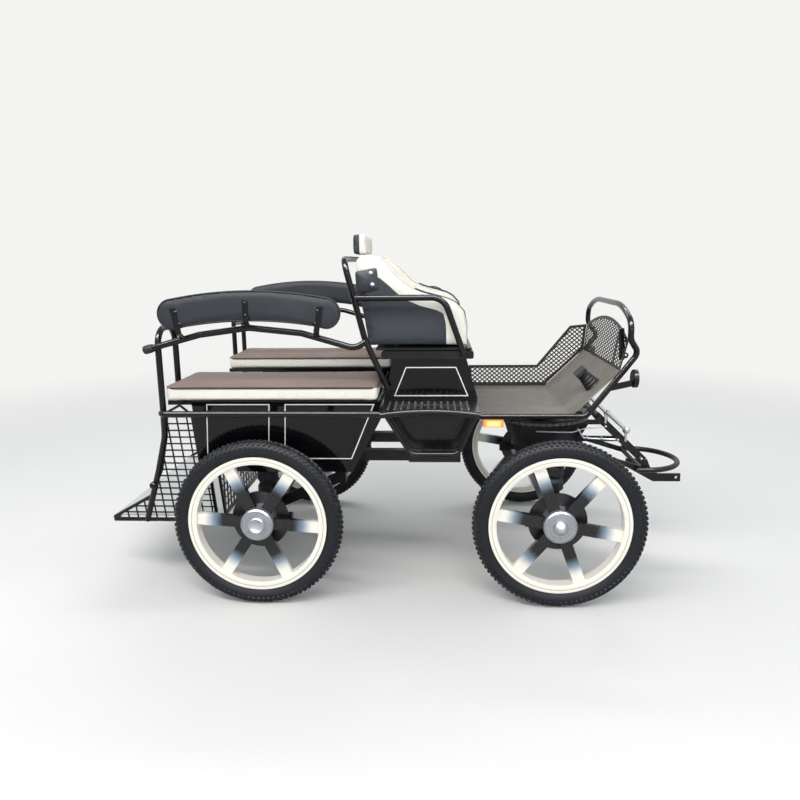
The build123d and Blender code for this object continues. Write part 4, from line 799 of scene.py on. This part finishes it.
def dress_nodes():
    """Give each CAD node that stays in view its own finish."""
    gloss = black_gloss("black_tube_gloss")
    body_lines = (((-0.832, 0.599), (-0.575, 0.599), (-0.548, 0.839), (-0.800, 0.839)),
                  ((-0.507, 0.599), (-0.230, 0.599), (-0.129, 0.839), (-0.483, 0.839)))
    panel = striped_gloss("body_side_gloss", body_lines, 0.0042)
    box_line = ((-0.054, 0.846), (0.248, 0.846), (0.199, 0.964), (-0.006, 0.964))
    box = striped_gloss("driver_box_gloss", (box_line,), 0.0042, outer=0.449)
    chassis = black_gloss("chassis_satin", 0.34, 0.16)
    finishes = {
        "wheel": wheel_paint(), "hub": hub_metal(),
        "body_side": panel, "driver_box": box, "under_box": black_gloss("locker_gloss", 0.12),
        "body_floor": ribbed_mat("cabin_floor_mat", True),
        "body_front": black_gloss("front_wall_gloss", 0.14),
        "footwell_floor": ribbed_mat("footwell_mat", True), "step_floor": chequer_plate(),
        "footwell_panel": satin_metal("perforated_plate", (0.024, 0.021, 0.019), (0.085, 0.072, 0.063), 0.34),
        "dash_panel": satin_metal("perforated_dash", (0.016, 0.014, 0.013), (0.055, 0.047, 0.041), 0.34),
        "rear_screen": black_gloss("screen_wire_gloss", 0.24),
        "riser_screen": black_gloss("riser_wire_gloss", 0.24),
        "side_markers": amber_lens(), "draw_struts": brushed_steel("bright_rod_steel"),
        "lower_ring": satin_metal("ring_steel_worn", (0.10, 0.10, 0.10), (0.22, 0.20, 0.18), 0.34, 1.0, 90.0),
        "seat_board": black_gloss("seat_board_black", 0.30, 0.10),
        "rear_bellows": satin_metal("bellows_rubber", RUBBER, (0.06, 0.057, 0.053), 0.55),
        "front_springs": satin_metal("spring_rubber", RUBBER, (0.06, 0.057, 0.053), 0.55),
        "brake_pedal": satin_metal("pedal_rubber", RUBBER, (0.05, 0.048, 0.045), 0.50),
        "main_frame": chassis, "rear_axle": chassis, "front_axle": chassis, "fore_frame": chassis,
        "draw_frame": chassis, "hitch": chassis, "side_tread": black_gloss("tread_gloss", 0.2, 0.12),
        "front_lamps": black_gloss("lamp_shell_black", 0.28),
    }
    for name, node in NODES.items():
        plain = name.replace("_right", "").replace("_left", "").replace("front_wheel", "wheel")
        plain = plain.replace("rear_wheel", "wheel").replace("front_hub", "hub").replace("rear_hub", "hub")
        node.data.materials.clear()
        node.data.materials.append(finishes.get(plain, gloss))


BACK_STRAP_BOLTS = ((-0.874, 1.212), (-0.862, 1.166), (-0.604, 1.245), (-0.604, 1.198), (-0.328, 1.212),
                    (-0.340, 1.166))
# Outline of the seat's sides from the foot of their front edge over the top: (x, z)
SEAT_SIDE_EDGE = [(0.250, 1.050), (0.250, 1.126), (0.239, 1.187), (0.208, 1.222), (0.174, 1.242),
                  (0.130, 1.255), (0.069, 1.271), (0.030, 1.286), (-0.001, 1.303), (-0.044, 1.344),
                  (-0.087, 1.387), (-0.125, 1.411), (-0.160, 1.423), (-0.195, 1.419), (-0.213, 1.397)]


def back_board_edge():
    """The back rest board's outline: its middle line is 1.192 + 0.040 (1 - s * s), with s from -1
    to 1 along it, and the top and bottom lines are 0.057 above and below, joined by round ends."""
    along = np.linspace(-0.890, -0.302, 60)
    share = (along + 0.596) / 0.351
    middle = 1.192 + 0.040 * (1 - share ** 2)
    end = np.linspace(-np.pi / 2, np.pi / 2, 18)[1:-1]
    front = np.column_stack([-0.302 + 0.057 * np.cos(end), middle[-1] + 0.057 * np.sin(end)])
    rear = np.column_stack([-0.890 - 0.057 * np.cos(end), middle[0] - 0.057 * np.sin(end)])
    low = np.column_stack([along, middle - 0.054])
    top = np.column_stack([along[::-1], middle[::-1] + 0.057])
    return np.concatenate([low, front, top, rear])


def make_benches():
    """Two-tone bench cushions with welts, and padded back boards with a welt and their bolts."""
    top_hide = bench_hide()
    welt = hide("welt_black_hide", (0.012, 0.012, 0.014), (0.03, 0.03, 0.034))
    board = hide("back_board_hide", (0.016, 0.019, 0.026), (0.034, 0.039, 0.048), 0.9, 0.25)
    bolt = black_gloss("strap_bolt_black", 0.2)
    for hand, side in HANDS:
        cushion = stuffed("bench_cushion_" + hand, "cushion_" + hand, top_hide, 0.0075,
                          (-0.006, -0.001, 0.003), 0.009)
        low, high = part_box("bench_cushion_" + hand)
        make_welt("welt_top_" + hand, cushion, BENCH_SEAM, (low.x, low.y), (high.x, high.y), welt)
        stuffed("bench_back_" + hand, "back_board_" + hand, board, 0.006,
                (-0.003, 0.003, -0.005), 0.006)
        flat = evened(back_board_edge().tolist(), 320)
        path = np.column_stack([flat[:, 0], np.full(len(flat), side * (BACK_OUT_Y - 0.006)), flat[:, 1]])
        make_ring("back_welt_" + hand, path, (0, 1, 0), welt)
        places = facing_out(BACK_STRAP_BOLTS, BACK_OUT_Y + 0.0052, side)
        make_bolts("strap_bolts_" + hand, places, bolt, BODY, 0.85)


PLATE_AT = (-0.161, 0.440, 1.318)     # strap plate at the seat's rear corner, mirrored on the left
PLATE_HALF = (0.0445, 0.044)
PLATE_BOLTS = ((-0.1385, 1.3005), (-0.1445, 1.3465))
PLATE_BOLT_Y = 0.4492


def make_driver_seat():
    """The driver's seat: sides, cushion, back, head pad and the strap plates with their bolts."""
    side_hide = seat_side_hide()
    cream = hide("seat_cream_hide", CREAM, (0.60, 0.55, 0.45))
    taupe = hide("seat_taupe_hide", TAUPE, (0.20, 0.15, 0.13))
    piping = hide("piping_black_hide", (0.012, 0.012, 0.014), (0.03, 0.03, 0.034))
    plate = satin_metal("plate_black_hide", (0.030, 0.033, 0.042), (0.065, 0.070, 0.085), 0.5, 0.0, 300.0)
    bolt = brushed_steel("bright_bolt_steel")
    for hand, side in HANDS:
        stuffed("driver_side_" + hand, "seat_side_" + hand, side_hide, 0.0065,
                (0.003, 0.003, 0.003), 0.008)
        for name, corners, finish in (("front", SEAT_SIDE_EDGE[:8], piping),
                                      ("top", SEAT_SIDE_EDGE[7:], cream)):
            edge = evened(corners, 110, False)
            ahead = np.gradient(edge, axis=0)
            ahead /= np.linalg.norm(ahead, axis=1, keepdims=True)
            inward = np.column_stack([-ahead[:, 1], ahead[:, 0]])
            inner = edge + inward * 0.0045
            path = np.column_stack([inner[:, 0], np.full(len(edge), side * PIPING_Y), inner[:, 1]])
            make_cord("seat_piping_" + name + "_" + hand, path, PIPING_R, finish)
        make_plate("seat_plate_" + hand, side, plate)
        places = facing_out(PLATE_BOLTS, PLATE_BOLT_Y, side)
        make_bolts("plate_bolts_" + hand, places, bolt, BODY, 0.95)
    stuffed("driver_cushion", "seat_cushion", taupe, 0.0085, (0.004, 0.002, 0.006), 0.014)
    stuffed("driver_back", "seat_back", cream, 0.0085, (0.003, 0.002, 0.004), 0.010)
    stuffed("head_pad", "head_cushion", head_hide(), 0.005, (0.003, 0.003, 0.002), 0.006)


def squared(wave, power):
    """A cosine or sine pushed towards 1 and -1, which makes a superellipse of a circle."""
    return np.sign(wave) * np.abs(wave) ** power


def make_plate(name, side, material):
    """A strap plate at the seat's rear corner: a flat sheet whose outline is a superellipse of power 9,
    sheared upwards towards the front, with a small round over at its edge."""
    u = np.linspace(0, 2 * np.pi, 72, endpoint=False)[:, None]
    share = np.array([0.0, 0.975, 1.0, 1.0, 0.0])[None, :]
    out = np.array([0.0085, 0.0085, 0.007, -0.004, -0.004])[None, :]
    wide = squared(np.cos(u), 2 / 9) * PLATE_HALF[0]
    tall = squared(np.sin(u), 2 / 9) * PLATE_HALF[1]
    x = PLATE_AT[0] + wide * share - tall * share * 0.06
    z = PLATE_AT[2] + tall * share + wide * share * 0.17
    points = np.stack(np.broadcast_arrays(x, side * (PLATE_AT[1] + out), z), axis=-1)
    return point_out(make_piece(name, points, grid_faces(72, 5, True, False), material, BODY))


def bead_points(start, end, radius, rows):
    """A half-round bead between two points on a level plate: its height is 0.8 radius sin v across
    it, and it tapers to nothing over its last tenth as the root of 1 - s * s."""
    share = np.linspace(0, 1, rows)[:, None]
    near_end = np.clip((np.abs(share - 0.5) - 0.4) / 0.1, 0, 1)
    swell = np.sqrt(1 - near_end ** 2)
    v = np.linspace(0, 2 * np.pi, BEAD_GRID[1], endpoint=False)[None, :]
    x = start[0] + (end[0] - start[0]) * share + radius * swell * np.cos(v)
    y = start[1] + (end[1] - start[1]) * share + 0 * v
    z = start[2] + (end[2] - start[2]) * share + radius * swell * 0.8 * np.sin(v)
    return np.stack(np.broadcast_arrays(x, y, z), axis=-1)


BEAD_COUNT = 13
BEAD_START_X = -0.070
BEAD_PITCH = 0.026
BEAD_SPAN = (0.478, 0.655)      # a bead's ends, measured out from the middle
BEAD_R = 0.0052
BEAD_GRID = (16, 12)
TREAD_TOP = 0.828


def make_tread_beads():
    """Polished beads along the ribs of both side treads."""
    finish = satin_metal("tread_bead_satin", (0.30, 0.30, 0.31), (0.12, 0.12, 0.12), 0.14, 0.8, 160.0)
    for hand, side in HANDS:
        places = [BEAD_START_X + BEAD_PITCH * i for i in range(BEAD_COUNT)]
        beads = [bead_points((x, side * BEAD_SPAN[0], TREAD_TOP), (x, side * BEAD_SPAN[1], TREAD_TOP), BEAD_R,
                             BEAD_GRID[0]) for x in places]
        points = np.stack(beads)
        starts = np.arange(BEAD_COUNT)[:, None, None] * BEAD_GRID[0] * BEAD_GRID[1]
        faces = grid_faces(*BEAD_GRID, False, True)[None] + starts
        point_out(make_piece("tread_beads_" + hand, points, faces.reshape(-1, 4), finish, BODY))


RAIL_END = (-0.9985, 0.622, 1.0691)
RAIL_AIM = Vector((-0.966, 0.0, -0.258))
LEG_END = (-1.0745, 0.531, 0.478)
LATCH_PIN_Y = 0.176
LATCH_PINS = ((0.760, 0.636), (0.800, 0.600), (0.868, 0.594), (0.882, 0.652), (0.940, 0.589), (1.050, 0.500))
HUB_FACE_Y = WHEEL_Y + 0.038


def mirrored(place, side):
    """A place on one hand of the carriage, whose distance from the middle is given."""
    return (place[0], side * place[1], place[2])


def make_fittings():
    """Rubber caps on the rails, knobs on the rear legs, latch pins on the draught gear and hub caps."""
    rubber = satin_metal("cap_rubber", RUBBER, (0.05, 0.048, 0.045), 0.55)
    knob = black_gloss("knob_gloss", 0.16)
    steel = brushed_steel("latch_steel")
    for hand, side in HANDS:
        outward = (0, side, 0)
        make_bolts("rail_cap_" + hand, [(mirrored(RAIL_END, side), RAIL_AIM)], rubber, BODY, 1.0, CAP_PROFILE)
        make_bolts("leg_knob_" + hand, [(mirrored(LEG_END, side), outward)], knob, BODY, 1.0, KNOB_PROFILE)
        pins = facing_out(LATCH_PINS, LATCH_PIN_Y, side)
        make_bolts("latch_pins_" + hand, pins, steel, FORE, 0.9, PIN_PROFILE)
        for end, at in ENDS:
            make_hub_cap(end + "_" + hand, at, side, end == "front", steel)


def make_hub_cap(name, x, side, dome, material):
    """A grease cap on a hub's cover: a turned lip round a dish, over the cover's face."""
    profile = ((0.0, 0.003), (0.024, 0.003), (0.0265, 0.0075), (0.029, 0.0085), (0.0315, 0.007), (0.033, 0.0),
               (0.033, -0.0015), (0.0, -0.0015))
    if dome:
        profile = ((0.0, 0.0275), (0.006, 0.027), (0.012, 0.024), (0.0255, 0.0105), (0.0275, 0.006),
                   (0.0275, -0.0015), (0.0, -0.0015))
    one = turned_points(profile, 64)
    origin = (x, side * HUB_FACE_Y, AXLE_Z)
    points = place_points(one, origin, (0, side, 0))
    faces = grid_faces(one.shape[0], one.shape[1], True, False)
    return point_out(make_piece("hub_cap_" + name, points, faces, material, "wheel_" + name))


FIN_AT = (0.8955, -0.330, 1.042)
FIN_HALF = (0.0115, 0.067)
FIN_LUGS = ((0.9095, 1.061), (0.9135, 0.994))
LUG_PROFILE = ((0.0, 0.0024), (0.0115, 0.0024), (0.0125, 0.0016), (0.0125, -0.0016), (0.0115, -0.0024),
               (0.0, -0.0024))


def make_dash_fin():
    """A black fin behind the dash, for a whip socket, with two round lugs that carry bright bolts.
    The bar is a superellipse of power 12 leaning with the dash, and each lug a turned disc."""
    finish = black_gloss("dash_fin_gloss", 0.2)
    u = np.linspace(0, 2 * np.pi, 64, endpoint=False)[:, None]
    share = np.array([0.0, 0.90, 1.0, 1.0, 0.90, 0.0])[None, :]
    out = np.array([0.0025, 0.0025, 0.0015, -0.0015, -0.0025, -0.0025])[None, :]
    wide = squared(np.cos(u), 1 / 6) * FIN_HALF[0]
    tall = squared(np.sin(u), 1 / 6) * FIN_HALF[1]
    x = FIN_AT[0] + wide * share - tall * share * 0.05
    points = np.stack(np.broadcast_arrays(x, FIN_AT[1] - out, FIN_AT[2] + tall * share), axis=-1)
    point_out(make_piece("dash_fin", points, grid_faces(64, 6, True, False), finish, BODY))
    make_bolts("dash_fin_lugs", facing_out(FIN_LUGS, 0.330, -1), finish, BODY, 1.0, LUG_PROFILE)
    bright = brushed_steel("fin_bolt_steel")
    make_bolts("dash_fin_bolts", facing_out(FIN_LUGS, 0.3322, -1), bright, BODY, 0.8)


DRAW_RODS = (  # name, distance from the middle, radius, (x, z) corners
    ("latch_rod_", 0.182, 0.0032, ((0.570, 0.626), (0.735, 0.622), (0.790, 0.640), (0.882, 0.648))),
    ("latch_lever_", 0.186, 0.004, ((0.760, 0.640), (0.782, 0.600), (0.800, 0.596), (0.935, 0.590))),
)


def make_draw_rods():
    """Thin bright rods that work the latches of the draught gear."""
    steel = brushed_steel("latch_rod_steel")
    for hand, side in HANDS:
        for name, out, radius, corners in DRAW_RODS:
            path = evened([(x, side * out, z) for x, z in corners], 60, False)
            make_cord(name + hand, path, radius, steel, FORE)


LIGHTS = (  # name, place, aim, (length, width), watts, colour, whether it lights more than gloss
    ("key_strip", (-1.2, -3.6, 4.6), (0.0, 0.0, 0.6), (6.0, 0.40), 190, (1.0, 0.985, 0.96), True),
    ("low_strip", (1.6, -5.2, 2.6), (0.1, 0.0, 0.6), (5.0, 0.30), 70, (0.95, 0.98, 1.0), True),
    ("rim_strip", (0.3, 3.4, 4.8), (0.0, 0.0, 0.8), (7.0, 0.40), 110, (1.0, 1.0, 1.0), True),
    ("sky_strip", (0.0, -2.8, 5.2), (0.0, 0.0, 0.8), (9.0, 0.90), 1300, (0.95, 0.98, 1.0), False),
)


FLOOR_HALF = 40
FLOOR_LINES = 41
FLOOR_FADE = (2.4, 7.0)         # metres from the middle between which the floor turns into backdrop


def make_studio():
    """A pale floor, whose far parts fade into the pale world, under soft lights."""
    across = np.linspace(-FLOOR_HALF, FLOOR_HALF, FLOOR_LINES)
    points = np.stack(np.broadcast_arrays(across[:, None], across[None, :], np.zeros((1, 1))), axis=-1)
    mesh = bpy.data.meshes.new("studio_floor")
    faces = grid_faces(FLOOR_LINES, FLOOR_LINES, False, False)[:, ::-1]
    mesh.from_pydata(points.reshape(-1, 3).tolist(), [], faces.tolist())
    floor = bpy.data.objects.new("studio_floor", mesh)
    bpy.context.scene.collection.objects.link(floor)
    paint = Paint("studio_floor_paint")
    x, y = paint.axes()[:2]
    cloud = paint.noise(1.2, 3.0, 0.5)
    tone = paint.mix((0.80, 0.80, 0.79), (0.83, 0.83, 0.82), cloud)
    mesh.materials.append(paint.finish(Base_Color=tone, Roughness=0.9, Specular_IOR_Level=0.1))
    far = ((x * x + y * y).root()).step(*FLOOR_FADE) * paint.seen()
    glow = paint.node("ShaderNodeEmission", {}, {"Color": PALE, "Strength": 1.0})
    skin = Wire(paint, paint.skin.outputs[0])
    both = paint.node("ShaderNodeMixShader", {}, {0: far, 1: skin, 2: glow})
    ending = next(n for n in paint.tree.nodes if n.type == "OUTPUT_MATERIAL")
    paint.plug(both, ending.inputs["Surface"])
    for name, place, aim, size, power, tone, whole in LIGHTS:
        lamp = bpy.data.lights.new(name, "AREA")
        lamp.shape = "RECTANGLE"
        lamp.size, lamp.size_y = size
        lamp.energy = power
        lamp.color = tone
        holder = bpy.data.objects.new(name, lamp)
        holder.location = place
        holder.visible_diffuse = whole
        holder.rotation_euler = (Vector(aim) - Vector(place)).to_track_quat("-Z", "Y").to_euler()
        bpy.context.scene.collection.objects.link(holder)


def make_world():
    """A plain sky that lights the object softly and is seen, also in gloss, as the pale backdrop."""
    world = bpy.data.worlds.new("studio_sky")
    bpy.context.scene.world = world
    world.use_nodes = True
    sky = Graph(world.node_tree)
    ending = next(n for n in sky.tree.nodes if n.type == "OUTPUT_WORLD")
    lit = sky.node("ShaderNodeBackground", {}, {"Color": (0.94, 0.97, 1.0), "Strength": 0.55})
    pale = sky.node("ShaderNodeBackground", {}, {"Color": PALE, "Strength": 1.0})
    sky.plug(sky.node("ShaderNodeMixShader", {}, {0: sky.seen(), 1: lit, 2: pale}), ending.inputs["Surface"])


CAMERA_PLACE = (0.1168, -3.2042, 1.390)
CAMERA_TURNS = (11.52, 3.10, -0.676)     # pitch, yaw and roll in degrees
FILM_MM = 36.0
FOCAL_PX = 677.0
PHOTO_PX = 800.0


def make_camera():
    """The camera that was fitted to the wheel rims: its place, its turn and its lens."""
    pitch, yaw, roll = (math.radians(angle) for angle in CAMERA_TURNS)
    ahead = Vector((-math.sin(yaw) * math.cos(pitch), math.cos(yaw) * math.cos(pitch), -math.sin(pitch)))
    right = ahead.cross(Vector((0, 0, 1))).normalized()
    up = right.cross(ahead)
    right, up = (right * math.cos(roll) + up * math.sin(roll), up * math.cos(roll) - right * math.sin(roll))
    turn = Matrix((right, up, -ahead)).transposed().to_4x4()
    lens = bpy.data.cameras.new("photo_camera")
    lens.sensor_width = FILM_MM
    lens.lens = FILM_MM * FOCAL_PX / PHOTO_PX
    camera = bpy.data.objects.new("photo_camera", lens)
    camera.matrix_world = Matrix.Translation(CAMERA_PLACE) @ turn
    bpy.context.scene.collection.objects.link(camera)
    bpy.context.scene.camera = camera


make_camera()
make_world()
make_studio()
dress_nodes()
rubber = tyre_rubber()
for end, at in ENDS:
    for hand, side in HANDS:
        make_tyre(end + "_" + hand, at, side * WHEEL_Y, rubber)
make_benches()
make_driver_seat()
make_tread_beads()
make_fittings()
make_draw_rods()
make_dash_fin()
bpy.context.scene.view_settings.view_transform = "Standard"
